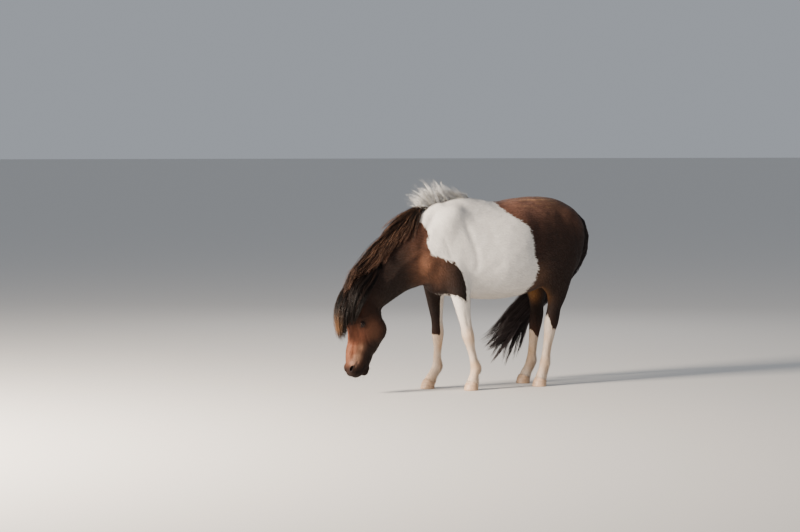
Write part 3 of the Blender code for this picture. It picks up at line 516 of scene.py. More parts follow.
eyeOpening = {
    "long": 0.0192,
    "high": 0.0122,
    "lid": 0.0022,  # the lids stand this far off the eyeball
    "socket": 0.015,  # the skin's reach behind the eyeball's face
    "folds": ((1.36, 0.09, 0.0014), (1.68, 0.11, 0.0012)),  # place, width and depth
    "lowerFolds": 0.55,  # the lower lid's folds are this much of the upper one's
}


def eyeFrame(side):
    # the way the eye looks, from its outer corner to the inner one, and down across the lids
    out = Vector((-0.1, side, 0.0)).normalized()
    along = Vector((-0.34, 0.0, -0.94)).normalized()
    across = Vector((0.94, 0.0, -0.34)).normalized()
    return np.array(out), np.array(along), np.array(across)


def eyeMeasure(places, side):
    # 1 on the edge between the lids, less inside it
    out, along, across = eyeFrame(side)
    rel = places - onSide(eyeCentre, side)
    a, b = rel @ along / eyeOpening["long"], rel @ across / eyeOpening["high"]
    return np.where(rel @ out > 0, np.sqrt(a**2 + np.abs(b) ** 1.6), 9.0), rel, b


def nostrilMeasure(places, side):
    # 1 on the nostril's edge, less inside it; the opening is a comma that bends backwards
    out = unit(onSide(nostril["out"], side))
    along = unit(np.cross(np.cross(out, (0.31, 0, 0.95)), out))
    across = np.cross(out, along) * side
    rel = places - onSide(nostril["centre"], side)
    u = rel @ along / nostril["long"]
    v = rel @ across / nostril["wide"] - 0.55 * u * u * np.sign(u) * (u > 0)
    near = (np.abs(rel @ out) < 0.03) & (np.linalg.norm(rel, axis=1) < 0.05)
    return np.where(near, np.sqrt(u**2 + v**2), 9.0), out


def headAhead(places):
    return (places - np.array(poll)) @ headNormal


def nearSpots(places, eyeReach, noseReach, mouthReach):
    mirrored = bothSides(places)
    eye = np.linalg.norm(mirrored - np.array(eyeCentre), axis=1) < eyeReach
    nose = np.linalg.norm(mirrored - np.array(nostril["centre"]), axis=1) < noseReach
    mouth = lineDistance(places * (1, 0, 1), mouthLine) < mouthReach
    return eye | nose | (mouth & (places[:, 2] < 0.25))


def refine(bm, chosen):
    picked = chosen(np.array([v.co[:] for v in bm.verts]))
    faces = [f for f in bm.faces if all(picked[v.index] for v in f.verts)]
    edges = list({e for f in faces for e in f.edges})
    bmesh.ops.subdivide_edges(bm, edges=edges, cuts=1, use_grid_fill=True)
    bm.verts.index_update()


def raiseLines(shift, places, table, here=True):
    # adds the height of a table's lines to each place's shift
    for reach, height, *path in table:
        shift += np.where(here, height * hump(lineDistance(places, path), 0, 0.6 * reach), 0)


def openEye(places, side):
    # lays the skin round the eyeball, with a hole between the lids and folds round them
    measure, rel, b = eyeMeasure(places, side)
    reach = np.linalg.norm(rel, axis=1)
    lidReach = eyeRadius + eyeOpening["lid"]
    target = lidReach + (reach - lidReach) * smoothStep(1.05, 2.3, measure)
    folds = sum(hump(measure, at, width) * deep for at, width, deep in eyeOpening["folds"])
    target -= folds * np.where(b < 0, 1.0, eyeOpening["lowerFolds"])
    target = np.where(measure < 1.0, eyeOpening["socket"], target)
    near = (measure < 2.3) & (reach < 0.045)
    moved = places - rel + rel / np.maximum(reach, 1e-6)[:, None] * target[:, None]
    return np.where(near[:, None], moved, places)


def openNostril(places, side):
    measure, out = nostrilMeasure(places, side)
    inwards = nostril["depth"] * (1 - smoothStep(0.55, 1.05, measure))
    inwards = inwards - nostril["rim"] * hump(measure, 1.22, 0.2)
    return places - out * (inwards * (measure < 3))[:, None]


# finer where small forms are, then laid on the fused head and legs
skinBm = bmesh.new()
skinBm.from_mesh(skin.data)
skinBm.verts.index_update()
refine(skinBm, lambda p: (headAhead(p) > -0.01) | (p[:, 2] < 0.53))
refine(skinBm, lambda p: nearSpots(p, 0.058, 0.05, 0.03) | ((p[:, 2] < 0.24) & (headAhead(p) > 0)))
refine(skinBm, lambda p: nearSpots(p, 0.034, 0.03, 0.009))
bmesh.ops.triangulate(skinBm, faces=[f for f in skinBm.faces if len(f.verts) > 4])
skinBm.to_mesh(skin.data)
skinBm.free()
skinPlaces = pointsOf(skin.data)
headPart = smoothStep(0.0, 0.04, headAhead(skinPlaces))
onHead = np.flatnonzero(headPart > 0)
laid = nearestOn(surfaceTree(head), skinPlaces[onHead])[0]
skinPlaces[onHead] += (laid - skinPlaces[onHead]) * headPart[onHead, None]
onLegs = np.flatnonzero((skinPlaces[:, 2] < 0.56) & (headPart == 0))
skinPlaces[onLegs] = nearestOn(surfaceTree(body), skinPlaces[onLegs])[0]
bpy.data.objects.remove(head)
bpy.data.objects.remove(body)
setPlaces(skin, skinPlaces)

# the flesh's lines, the mouth, then the eyes and nostrils
skinNormals = pointsOf(skin.data, "normal")
shift = np.zeros(len(skinPlaces))
raiseLines(shift, bothSides(skinPlaces), strokes)
x, y, z = skinPlaces.T
legTables = ((foreRows, forePose, foreStrokes, True), (hindRows, hindPose, hindStrokes, False))
for rows, poses, table, isFore in legTables:
    for side in (-1, 1):
        rel = np.column_stack((y * side - outOf(rows, z), x - middleOf(poses[side], z), z))
        raiseLines(shift, rel, table, (y * side > 0) & ((x < 0) == isFore) & (z < 0.62))
fromMouth = lineDistance(skinPlaces * (1, 0, 1), mouthLine)
mouth = lips["rim"] * hump(fromMouth, lips["rimAt"], lips["rimWidth"])
mouth = mouth - lips["groove"] * hump(fromMouth, 0, lips["grooveWidth"])
shift += np.where((headAhead(skinPlaces) > 0) & (z < 0.24), mouth, 0)
shift += 0.0016 * latticeNoise(skinPlaces, 0.05, 3) * (1 - headPart)
shift -= skinSizes["coatDepth"] + (skinSizes["faceDepth"] - skinSizes["coatDepth"]) * headPart
skinPlaces = skinPlaces + skinNormals * shift[:, None]
for side in (-1, 1):
    skinPlaces = openNostril(openEye(skinPlaces, side), side)
setPlaces(skin, skinPlaces)
print("skin shaped", len(skin.data.vertices), "points")

# markings, the same for the skin and for every hair
brownEdge = [
    (-0.745, 1.45), (-0.722, 1.249), (-0.664, 1.131), (-0.682, 1.05), (-0.655, 0.972), (-0.59, 0.955),
    (-0.5, 0.925), (-0.43, 0.836), (-0.395, 0.733), (-0.385, 0.64), (-0.37, 0.5), (0.15, 0.5),
    (0.135, 0.716), (0.158, 0.772), (0.168, 0.857), (0.128, 0.951), (0.122, 1.058), (0.098, 1.159),
    (0.004, 1.224), (-0.07, 1.289), (-0.065, 1.34), (-0.05, 1.5),
]
farEdge = [
    (-0.8, 1.45), (-0.76, 1.24), (-0.69, 1.15), (-0.66, 1.06), (-0.6, 1.0), (-0.53, 0.98),
    (-0.45, 0.9), (-0.4, 0.8), (-0.36, 0.72), (-0.3, 0.64), (-0.28, 0.5), (0.13, 0.5),
    (0.12, 0.7), (0.09, 0.8), (0.14, 0.9), (0.18, 1.0), (0.12, 1.1), (0.06, 1.18),
    (-0.02, 1.24), (-0.08, 1.3), (-0.06, 1.34), (-0.05, 1.5),
]
# soft patches of brown, some of them painted shade and painted highlight: place, reach, colour
brownPatches = [
    ((0.45, 0.23, 1.02), 0.3, "#2b1f1a"),  # haunch and the back of the rump: dark brown with painted shade on the side and the rear
    ((0.64, 0.1, 1.0), 0.2, "#1d1512"),
    ((0.4, 0.0, 1.4), 0.16, "#7d5c48"),  # top of the croup and the back: painted highlight, lighter where the light falls on the top
    ((0.15, 0.08, 1.34), 0.14, "#7d594a"),
    ((0.56, 0.12, 1.26), 0.13, "#6b4a3b"),
    ((0.44, 0.18, 0.76), 0.18, "#140e0c"),  # gaskin
    ((0.352, 0.088, 0.65), 0.048, "#a87440"),  # inside of the thigh: tan hair with painted sunlight on it
    ((0.325, 0.1, 0.71), 0.042, "#a06f40"),
    ((0.19, 0.22, 0.8), 0.08, "#5b4130"),  # flank fold
    ((0.44, 0.13, 0.54), 0.13, "#15100e"),  # hocks
    ((-0.57, 0.2, 0.89), 0.1, "#3c281d"),  # shoulder
    ((-0.69, 0.13, 0.9), 0.11, "#77503b"),
    ((-0.43, 0.22, 0.76), 0.16, "#0d0907"),  # elbow
    ((-0.5, 0.23, 0.86), 0.085, "#150d09"),
    ((-0.44, 0.12, 0.56), 0.15, "#0e0a09"),  # upper forelegs
    ((-0.72, 0.15, 1.1), 0.11, "#3f271c"),  # neck beside the white and under the mane: dark brown with painted shadow of the mane
    ((-0.8, 0.12, 0.975), 0.13, "#130c09"),
    ((-0.96, 0.08, 0.76), 0.13, "#150d0a"),
    ((-0.89, 0.11, 0.88), 0.11, "#0e0907"),
    ((-0.92, 0.04, 0.64), 0.14, "#0f0a08"),  # under the neck and the throat: dark brown with painted shade where the underside faces away from the light
    ((-0.8, 0.0, 0.72), 0.14, "#140d0a"),
    ((-1.06, 0.09, 0.62), 0.08, "#24160f"),
    ((-1.065, 0.08, 0.46), 0.06, "#664230"),  # cheek
    ((-0.985, 0.045, 0.43), 0.09, "#0b0807"),  # edge of the jaw and the back of the face: dark hair with painted shade where the face turns from the light
    ((-1.055, 0.03, 0.32), 0.07, "#100b09"),
    ((-1.17, 0.085, 0.51), 0.045, "#22150f"),  # round the eye: dark hair with painted shade under the forelock
    ((-1.2, 0.085, 0.695), 0.05, "#140d0b"),  # ears
    ((-1.24, 0.095, 0.712), 0.03, "#0f0a08"),
    ((-1.215, 0.02, 0.42), 0.08, "#6e4230"),  # forehead and nose
    ((-1.235, 0.02, 0.3), 0.08, "#68402d"),
    ((-1.16, 0.056, 0.33), 0.028, "#8c6a55"),  # pale band to the nostril
    ((-1.18, 0.05, 0.27), 0.026, "#a8866e"),
    ((-1.205, 0.048, 0.228), 0.024, "#a58370"),
    ((-1.202, 0.042, 0.365), 0.018, "#5f3320"),  # streak before the band
    ((-1.214, 0.04, 0.305), 0.015, "#6d3c27"),
    ((-1.1, 0.05, 0.29), 0.044, "#1a100c"),  # behind the band: dark skin and hair with painted shade on the back of the face
    ((-1.09, 0.035, 0.245), 0.05, "#0c0807"),
    ((-1.115, 0.03, 0.18), 0.076, "#0a0706"),  # lips and chin
    ((-1.195, 0.025, 0.14), 0.058, "#0b0807"),
    ((-1.228, 0.034, 0.176), 0.034, "#120b09"),  # nostrils
]
stockings = {
    # height, rise at the back and the front, and where the two rises start and end
    ("fore", -1): (0.64, -0.05, 0.045, 0.0, 0.05),
    ("fore", 1): (0.385, 0.3, 0.0, -0.008, 0.016),
    ("hind", -1): (0.418, -0.02, 0.125, 0.005, 0.062),
    ("hind", 1): (0.348, -0.03, 0.055, 0.0, 0.05),
}


def insideBy(points, outline):
    # distance to the outline, more than 0 inside it
    closed = np.array([*outline, outline[0]])
    best, inside = lineDistance(points, closed), np.zeros(len(points), bool)
    for a, b in zip(closed, closed[1:]):
        crosses = (a[1] > points[:, 1]) != (b[1] > points[:, 1])
        with np.errstate(divide="ignore", invalid="ignore"):
            at = (b[0] - a[0]) * (points[:, 1] - a[1]) / (b[1] - a[1]) + a[0]
        inside ^= crosses & (points[:, 0] < at)
    return np.where(inside, best, -best)


def whiteBy(places):
    # how far inside the white each place is, in metres
    side = smoothStep(-0.05, 0.05, places[:, 1])
    flat = places[:, [0, 2]]
    patch = insideBy(flat, brownEdge) * (1 - side) + insideBy(flat, farEdge) * side
    under = hump(places[:, 1], 0, 0.09) * (places[:, 2] < 0.8)
    patch = np.where((places[:, 2] < 0.55) | (places[:, 0] < -0.9), -0.1, patch - 0.02 * under)
    for (name, which), (height, back, front, start, end) in stockings.items():
        pose = (forePose if name == "fore" else hindPose)[which]
        behind = places[:, 0] - middleOf(pose, places[:, 2])
        here = (places[:, 1] * which > 0) & ((places[:, 0] < -0.1) == (name == "fore"))
        here &= (places[:, 0] > -0.62) & (places[:, 2] < 0.75)
        level = height + back * smoothStep(start, end, behind)
        level = level + front * np.clip((-behind - start) / (end - start), 0, 1)
        patch = np.where(here, np.maximum(patch, level - places[:, 2]), patch)
    return patch + 0.006 * latticeNoise(places, 0.028, 21) + 0.004 * latticeNoise(places, 0.014, 22)


def brownAt(places):
    mirrored = bothSides(places)
    usual = 0.12  # the weight of the plain brown where no patch reaches
    total, weight = np.tile(linearColour("#5b3422") * usual, (len(places), 1)), np.full(len(places), usual)
    for centre, reach, code in brownPatches:
        share = hump(np.linalg.norm(mirrored - np.array(centre), axis=1), 0, reach) * 1.5
        total += share[:, None] * linearColour(code)
        weight += share
    brown = total / weight[:, None]
    # painted highlight: golden streaks along the hairs on top of the croup
    croupHighlight = hump(places[:, 0], 0.27, 0.2) * smoothStep(1.26, 1.35, places[:, 2])
    croupHighlight *= smoothStep(0.05, 0.6, latticeNoise(places * (0.22, 1.0, 1.0), 0.014, 31)) * 0.5
    return brown + (linearColour("#b98f66") - brown) * croupHighlight[:, None]


def whiteAt(places):
    # towards the feet the white goes tan: partly stains, partly painted warm light thrown up from the ground
    clean, stainAndWarmLight = linearColour("#e8e4de"), linearColour("#c6a27c")
    low = smoothStep(0.62, 0.3, places[:, 2]) * 0.5 + smoothStep(0.75, 0.62, places[:, 2]) * 0.15
    low = np.clip(low * (1 + 0.4 * latticeNoise(places, 0.06, 11)), 0, 1)
    return clean + (stainAndWarmLight - clean) * low[:, None]


def coatColour(places, tuft=0.0):
    by = whiteBy(places) + tuft
    return np.where((by > 0)[:, None], whiteAt(places), brownAt(places))


def bareness(places):
    # 1 where thin dark skin shows: lids, nostrils and lips
    bare = np.zeros(len(places))
    for side in (-1, 1):
        bare = np.maximum(bare, 1 - smoothStep(1.08, 1.32, eyeMeasure(places, side)[0]))
        bare = np.maximum(bare, 1 - smoothStep(1.0, 1.7, nostrilMeasure(places, side)[0]))
    lips = 1 - smoothStep(0.004, 0.014, lineDistance(places * (1, 0, 1), mouthLine))
    return np.maximum(bare, lips * (headAhead(places) > 0) * (places[:, 2] < 0.235))


def coatLie(places, normals):
    # the way the hairs point, along the skin
    x, y, z = places.T
    flow = np.tile((1.0, 0.0, -0.3), (len(places), 1))

    def turnTo(target, weight):
        nonlocal flow
        flow = flow + (np.array(target) - flow) * weight[:, None]

    turnTo((0.55, 0.0, -0.85), smoothStep(-0.3, -0.42, x) * smoothStep(-0.78, -0.66, x))  # shoulder
    turnTo((1.0, 0.0, 0.1), smoothStep(-0.66, -0.8, x))  # neck
    turnTo((0.65, 0.0, -0.8), smoothStep(0.3, 0.48, x))  # rump
    turnTo((0.25, 0.0, -1.0), smoothStep(0.62, 0.7, x))
    leg = smoothStep(0.86, 0.68, z) * (1 - smoothStep(-0.34, -0.28, x) * smoothStep(0.2, 0.14, x))
    turnTo((0.12, 0.0, -1.0), leg)
    head = smoothStep(-0.02, 0.05, headAhead(places))
    turnTo((0.6, 0.0, -0.8), head * smoothStep(-1.16, -1.04, x))
    turnTo((-0.05, 0.0, -1.0), head * smoothStep(-1.04, -1.16, x))
    flow = flow - normals * np.sum(flow * normals, axis=1)[:, None]
    return unit(flow)


lies = unit(np.array([(1.0, 0.0, -0.2), (0.62, 0.0, -0.78), (0.0, 0.0, -1.0)]))


def dressSkin(mesh, spots, facing):
    lieShare = np.maximum(coatLie(spots, facing) @ lies.T, 0.02) ** 8
    addColours(mesh, "lieShare", lieShare / lieShare.sum(axis=1)[:, None])
    addColours(mesh, "brown", brownAt(spots))
    addColours(mesh, "white", whiteAt(spots))
    addFloats(mesh, "whiteBy", np.clip(whiteBy(spots), -0.1, 0.1))
    addFloats(mesh, "bare", bareness(spots))


skinNormals = pointsOf(skin.data, "normal")
skinTree = surfaceTree(skin)
dressSkin(skin.data, skinPlaces, skinNormals)
print("markings laid")


def furNoise(tree, size, stretch, detail):
    # noise drawn out along the lie of the coat, which lieShare gives at each place
    where = addNode(tree, "ShaderNodeTexCoord").outputs["Object"]
    lieShare = addNode(tree, "ShaderNodeAttribute", {"attribute_name": "lieShare"}).outputs["Color"]
    shares = addNode(tree, "ShaderNodeSeparateColor", {}, {"Color": lieShare}).outputs
    total = 0.0
    for i, lie in enumerate(lies):
        turn = (0, math.atan2(-lie[2], lie[0]), 0)
        scaled = {"Vector": where, "Rotation": turn, "Scale": (stretch, 1, 1)}
        turned = addNode(tree, "ShaderNodeMapping", {"vector_type": "TEXTURE"}, scaled).outputs["Vector"]
        grain = {"Vector": turned, "Scale": 1 / size, "Detail": detail, "Roughness": 0.6}
        noise = addNode(tree, "ShaderNodeTexNoise", {}, grain).outputs["Fac"]
        weighed = {0: noise, 1: shares[i], 2: total}
        total = addNode(tree, "ShaderNodeMath", {"operation": "MULTIPLY_ADD"}, weighed).outputs[0]
    return total


def blendedBy(tree, value, low, high, first, second):
    # from the first colour to the second while the value goes from low to high
    share = addNode(tree, "ShaderNodeMapRange", {}, {"Value": value, "From Min": low, "From Max": high})
    colours = {0: share.outputs["Result"], 6: first, 7: second}
    return addNode(tree, "ShaderNodeMix", {"data_type": "RGBA"}, colours).outputs[2]


def shadedBy(tree, colour, value, low, high, dark, light):
    # the colour times a grey that the value moves from dark to light
    shade = blendedBy(tree, value, low, high, (dark, dark, dark, 1), (light, light, light, 1))
    kind = {"data_type": "RGBA", "blend_type": "MULTIPLY"}
    return addNode(tree, "ShaderNodeMix", kind, {0: 1.0, 6: colour, 7: shade}).outputs[2]


furShades = {  # low, high, dark and light of the fine and the broad streaks
    "brown": ((0.3, 0.7, 0.62, 1.3), (0.3, 0.7, 0.8, 1.18)),
    "white": ((0.3, 0.7, 0.8, 1.04), (0.35, 0.65, 0.88, 1.03)),
}


def makeFur():
    # short flat hair over skin: dull, with fine streaks along its lie
    look = {"Roughness": 0.75, "Specular IOR Level": 0.2, "IOR": 1.45}
    made, tree, shader = newMaterial("short coat", look)
    read = {}
    for name in ("brown", "white", "whiteBy", "bare"):
        read[name] = addNode(tree, "ShaderNodeAttribute", {"attribute_name": name}).outputs
    fine, broad = furNoise(tree, 0.0035, 9, 3), furNoise(tree, 0.018, 5, 2)
    streaky = {}
    for name, (fineShade, broadShade) in furShades.items():
        shaded = shadedBy(tree, read[name]["Color"], fine, *fineShade)
        streaky[name] = shadedBy(tree, shaded, broad, *broadShade)
    raggedBy = {0: fine, 1: 0.03, 2: read["whiteBy"]["Fac"]}  # the patches' edges follow the hairs
    ragged = addNode(tree, "ShaderNodeMath", {"operation": "MULTIPLY_ADD"}, raggedBy).outputs[0]
    colour = blendedBy(tree, ragged, 0.014, 0.0165, streaky["brown"], streaky["white"])
    colour = blendedBy(tree, read["bare"]["Fac"], 0.0, 1.0, colour, opaque("#1c1413"))
    bump = addNode(tree, "ShaderNodeBump", {}, {"Strength": 0.35, "Distance": 0.0014, "Height": fine})
    setInputs(tree, shader, {"Base Color": colour, "Normal": bump.outputs["Normal"]})
    return made


def makeHair(name, roughness, level):
    look = {"Roughness": roughness, "Specular IOR Level": level, "IOR": 1.55}
    made, tree, shader = newMaterial(name, look)
    colour = addNode(tree, "ShaderNodeAttribute", {"attribute_name": "hairColour"}).outputs["Color"]
    setInputs(tree, shader, {"Base Color": colour})
    return made


def objectNoise(tree, scale, stretch, detail):
    where = addNode(tree, "ShaderNodeTexCoord").outputs["Object"]
    placed = addNode(tree, "ShaderNodeMapping", {}, {"Vector": where, "Scale": stretch}).outputs["Vector"]
    grain = {"Vector": placed, "Scale": scale, "Detail": detail}
    return addNode(tree, "ShaderNodeTexNoise", {}, grain).outputs["Fac"]


def makeLidSkin():
    # wet dark skin of the lids, with fine creases
    look = {"Roughness": 0.38, "IOR": 1.4, "Base Color": opaque("#1b1211")}
    made, tree, shader = newMaterial("lid skin", look)
    creases = objectNoise(tree, 700.0, (1, 1, 1), 3.0)
    bump = addNode(tree, "ShaderNodeBump", {}, {"Strength": 0.4, "Distance": 0.0006, "Height": creases})
    setInputs(tree, shader, {"Normal": bump.outputs["Normal"]})
    return made


def makeEye():
    # clear wet cornea over a dark brown iris and a wide flat pupil
    look = {"Roughness": 0.25, "IOR": 1.376, "Specular IOR Level": 0.1}
    cornea = {"Coat Weight": 0.6, "Coat Roughness": 0.02, "Coat IOR": 1.376}
    made, tree, shader = newMaterial("eye", {**look, **cornea})
    iris = addNode(tree, "ShaderNodeAttribute", {"attribute_name": "iris"}).outputs["Fac"]
    pupil = addNode(tree, "ShaderNodeAttribute", {"attribute_name": "pupil"}).outputs["Fac"]
    fibres = objectNoise(tree, 900.0, (1, 1, 1), 4.0)
    colour = blendedBy(tree, fibres, 0.35, 0.65, opaque("#140a05"), opaque("#2a170b"))
    colour = blendedBy(tree, iris, 0.8, 1.0, colour, opaque("#120a06"))
    colour = blendedBy(tree, iris, 1.0, 1.12, colour, opaque("#2c211b"))
    colour = blendedBy(tree, pupil, 0.92, 1.05, opaque("#05060a"), colour)
    setInputs(tree, shader, {"Base Color": colour})
    return made


def makeHorn():
    # weathered pale horn with growth rings and fine upright grain
    made, tree, shader = newMaterial("hoof horn", {"Roughness": 0.55, "IOR": 1.54})
    grain = objectNoise(tree, 420.0, (1, 1, 0.06), 3.0)
    growth = objectNoise(tree, 150.0, (0.15, 0.15, 1), 2.0)
    colour = blendedBy(tree, grain, 0.35, 0.65, opaque("#a88a70"), opaque("#c8a88a"))
    colour = shadedBy(tree, colour, growth, 0.35, 0.65, 0.8, 1.04)
    bump = addNode(tree, "ShaderNodeBump", {}, {"Strength": 0.5, "Distance": 0.0008, "Height": growth})
    setInputs(tree, shader, {"Base Color": colour, "Normal": bump.outputs["Normal"]})
    return made


furMaterial = makeFur()
tuftMaterial = makeHair("coat hairs", 0.66, 0.25)  # soft ends of the coat, hardly any shine
longMaterial = makeHair("mane and tail hair", 0.48, 0.2)  # coarse smooth hair with a soft sheen
lidMaterial, eyeMaterial, hornMaterial = makeLidSkin(), makeEye(), makeHorn()
skin.data.materials.append(furMaterial)
print("materials made")


def addRing(bm, points):
    verts = bmesh.ops.create_circle(bm, segments=len(points), radius=1.0)["verts"]
    for v, p in zip(verts, points):
        v.co = p
    return verts, list({e for v in verts for e in v.link_edges})


def loftRings(bm, loops, close=False):
    made = [addRing(bm, points) for points in loops]
    for a, b in zip(made, made[1:] + (made[:1] if close else [])):
        bmesh.ops.bridge_loops(bm, edges=a[1] + b[1])
    if not close:
        bmesh.ops.contextual_create(bm, geom=made[0][0])
        bmesh.ops.contextual_create(bm, geom=made[-1][0])


def tubeAlong(bm, path, radii, sides=8, close=False, hint=(0, 0, 1)):
    path = np.asarray(path, float)
    ahead = np.roll(path, -1, axis=0) if close else np.vstack([path[1:], path[-1:]])
    behind = np.roll(path, 1, axis=0) if close else np.vstack([path[:1], path[:-1]])
    along = unit(ahead - behind)
    across = unit(np.cross(along, hint))
    up = np.cross(across, along)
    loops = []
    for p, a, u, r in zip(path, across, up, radii):
        turns = [math.tau * k / sides for k in range(sides)]
        loops.append([Vector(p + r * (math.cos(t) * a + math.sin(t) * u)) for t in turns])
    loftRings(bm, loops, close)


lidFolds = {"edge": 0.0011, "upper": 0.0013, "lower": 0.0009, "grow": 1.2, "sides": 48}
eyeball = {"iris": 0.016, "pupilLong": 0.0068, "pupilHigh": 0.0038, "bulge": 0.0011, "level": 0.7}


def lidPoint(side, turn, grow, reach):
    # a point of the almond between the lids, grown by a share, at a distance from the eye's centre
    out, along, across = eyeFrame(side)
    a = eyeOpening["long"] * math.cos(turn) * grow
    b = eyeOpening["high"] * abs(math.sin(turn)) ** 1.25 * (1 if math.sin(turn) > 0 else -1) * grow
    away = math.sqrt(max(reach * reach - a * a - b * b, (0.35 * reach) ** 2))
    return onSide(eyeCentre, side) + along * a + across * b + out * away


eyeBm, lidBm = bmesh.new(), bmesh.new()
for side in (-1, 1):
    centre, out = Matrix.Translation(Vector(onSide(eyeCentre, side))), eyeFrame(side)[0]
    bmesh.ops.create_uvsphere(eyeBm, u_segments=48, v_segments=32, radius=eyeRadius, matrix=centre)
    turns = np.linspace(0, math.tau, lidFolds["sides"] + 1)[:-1]
    edge = [lidPoint(side, t, 1.02, eyeRadius + 0.0012) for t in turns]
    tubeAlong(lidBm, edge, [lidFolds["edge"]] * len(edge), 8, True, hint=out)
    for name, lows in (("upper", -1), ("lower", 1)):
        grow = lidFolds["grow"]
        arc = np.linspace(0.12, math.pi - 0.12, 25) * lows
        path = [lidPoint(side, t, grow, eyeRadius + 0.0022 + 0.006 * (grow - 1)) for t in arc]
        radii = lidFolds[name] * np.sin(np.linspace(0.15, math.pi - 0.15, 25)) ** 0.6
        tubeAlong(lidBm, path, radii, 8, hint=out)
bmesh.ops.recalc_face_normals(eyeBm, faces=eyeBm.faces)
bmesh.ops.recalc_face_normals(lidBm, faces=lidBm.faces)
eyes, lids = meshObject("eyeballs", eyeBm, eyeMaterial), meshObject("eyelids", lidBm, lidMaterial)
eyePlaces = pointsOf(eyes.data)
iris, pupil = np.full(len(eyePlaces), 9.0), np.full(len(eyePlaces), 9.0)
for side in (-1, 1):
    out, along, across = eyeFrame(side)
    rel = eyePlaces - onSide(eyeCentre, side)
    front = (eyePlaces[:, 1] * side > 0) & (rel @ out > 0)
    level = unit(along * math.cos(eyeball["level"]) + across * math.sin(eyeball["level"]))
    flat, high = rel @ level / eyeball["pupilLong"], rel @ np.cross(level, out) / eyeball["pupilHigh"]
    fromAxis = np.linalg.norm(rel - (rel @ out)[:, None] * out, axis=1)
    iris = np.where(front, fromAxis / eyeball["iris"], iris)
    pupil = np.where(front, np.sqrt(flat**2 + high**2), pupil)
    bulge = eyeball["bulge"] * smoothStep(0.6, 0.95, rel @ out / eyeRadius) * front
    eyePlaces += unit(rel) * bulge[:, None]
setPlaces(eyes, eyePlaces)
addFloats(eyes.data, "iris", iris)
addFloats(eyes.data, "pupil", pupil)
print("eyes and lids made")

earShape = {
    "base": (-1.152, 0.056, 0.672),
    "tip": (-1.252, 0.092, 0.708),
    "opens": (-0.35, 0.45, -0.85),
    "stations": (-0.25, 0.0, 0.15, 0.38, 0.62, 0.82, 0.95),
    "widths": (0.016, 0.022, 0.026, 0.03, 0.026, 0.016, 0.006),
    "wall": 0.003,
    "lift": 0.24,  # how far the cup lies towards the opening
    "bow": 0.012,
}


def earFrame(side):
    base, tip, opens = (onSide(earShape[name], side) for name in ("base", "tip", "opens"))
    axis = tip - base
    opens = unit(opens - axis * (opens @ axis) / (axis @ axis))
    return base, axis, opens, np.cross(unit(axis), opens)


def earRings(side, lows, highs, shrink, lift):
    base, axis, opens, across = earFrame(side)
    turns = np.arange(28) * math.tau / 28
    c, d = np.cos(turns)[:, None], np.sin(turns)[:, None]
    loops = []
    for s in np.linspace(lows, highs, 22):
        width = np.interp(s, earShape["stations"], earShape["widths"]) - shrink
        centre = base + axis * s + opens * (lift * width - earShape["bow"] * math.sin(math.pi * s))
        loop = centre + across * width * c + opens * width * d * np.where(d > 0, 0.55, 0.85)
        loops.append([Vector(point) for point in loop])
    return loops


def ringedMesh(name, loops, *materials):
    bm = bmesh.new()
    loftRings(bm, loops)
    bmesh.ops.recalc_face_normals(bm, faces=bm.faces)
    return meshObject(name, bm, *materials)


ears = []
for side, name in ((-1, "left"), (1, "right")):
    ear = ringedMesh(f"ear_{name}_skin", earRings(side, -0.25, 0.97, 0.0, 0.0), furMaterial)
    cup = ringedMesh("cup", earRings(side, 0.02, 0.86, earShape["wall"], earShape["lift"]))
    cutOut = {"operation": "DIFFERENCE", "object": cup, "solver": "EXACT"}
    applyModifiers(ear, ("BOOLEAN", cutOut), ("SMOOTH", {"factor": 0.5, "iterations": 2}))
    bpy.data.objects.remove(cup)
    dressSkin(ear.data, pointsOf(ear.data), pointsOf(ear.data, "normal"))
    ears.append(ear)
print("ears made")

hoofShape = {
    # height, and the reach to the front, to the back and to the sides
    "rows": (
        (0.0, 0.056, 0.04, 0.05),
        (0.006, 0.058, 0.043, 0.052),
        (0.04, 0.048, 0.047, 0.049),
        (0.095, 0.008, 0.043, 0.036),
    ),
    "toe": 0.066,  # height of the horn in front
    "heel": 0.04,
    "out": 0.13,
    "ripple": 0.0005,
    "coronet": 0.0012,
    "notch": 0.006,  # between the heels
    "rings": 26,
    "sides": 56,
}


def hoofRings(foot, side):
    heights, fronts, backs, wides = zip(*hoofShape["rows"])
    turns = np.arange(hoofShape["sides"]) * math.tau / hoofShape["sides"]
    c, s = np.cos(turns), np.sin(turns)
    loops = []
    for t in np.arange(hoofShape["rings"]) / (hoofShape["rings"] - 1):
        height = hoofShape["heel"] + (hoofShape["toe"] - hoofShape["heel"]) * (0.5 + 0.5 * c)
        z = t * height
        proud = hoofShape["ripple"] * math.sin(t * 60 + 2 * side) * (1 - t)
        proud = proud + hoofShape["coronet"] * hump(t, 0.96, 0.05)
        reach = np.where(c > 0, np.interp(z, heights, fronts), np.interp(z, heights, backs)) + proud
        notch = hoofShape["notch"] * hump(turns, math.pi, 0.3) * (1 - 0.5 * t) * (c < 0)
        wide = np.interp(z, heights, wides) + proud
        places = np.column_stack((foot - c * reach - notch, hoofShape["out"] * side + s * wide, z))
        loops.append([Vector(place) for place in places])
    return loops


hooves = {}
for kind, poses in (("foreleg", forePose), ("hindleg", hindPose)):
    for side, name in ((-1, "left"), (1, "right")):
        bm = bmesh.new()
        loftRings(bm, hoofRings(poses[side][-1][1], side))
        sole = min(bm.faces, key=lambda f: f.calc_center_median().z)
        bmesh.ops.inset_individual(bm, faces=[sole], thickness=0.008, depth=0.0)
        bmesh.ops.translate(bm, verts=sole.verts, vec=(0, 0, 0.004))  # the sole is hollow
        bmesh.ops.recalc_face_normals(bm, faces=bm.faces)
        hooves[f"{kind}_{name}_hoof"] = meshObject(f"{kind}_{name}_horn", bm, hornMaterial)
print("hooves made")


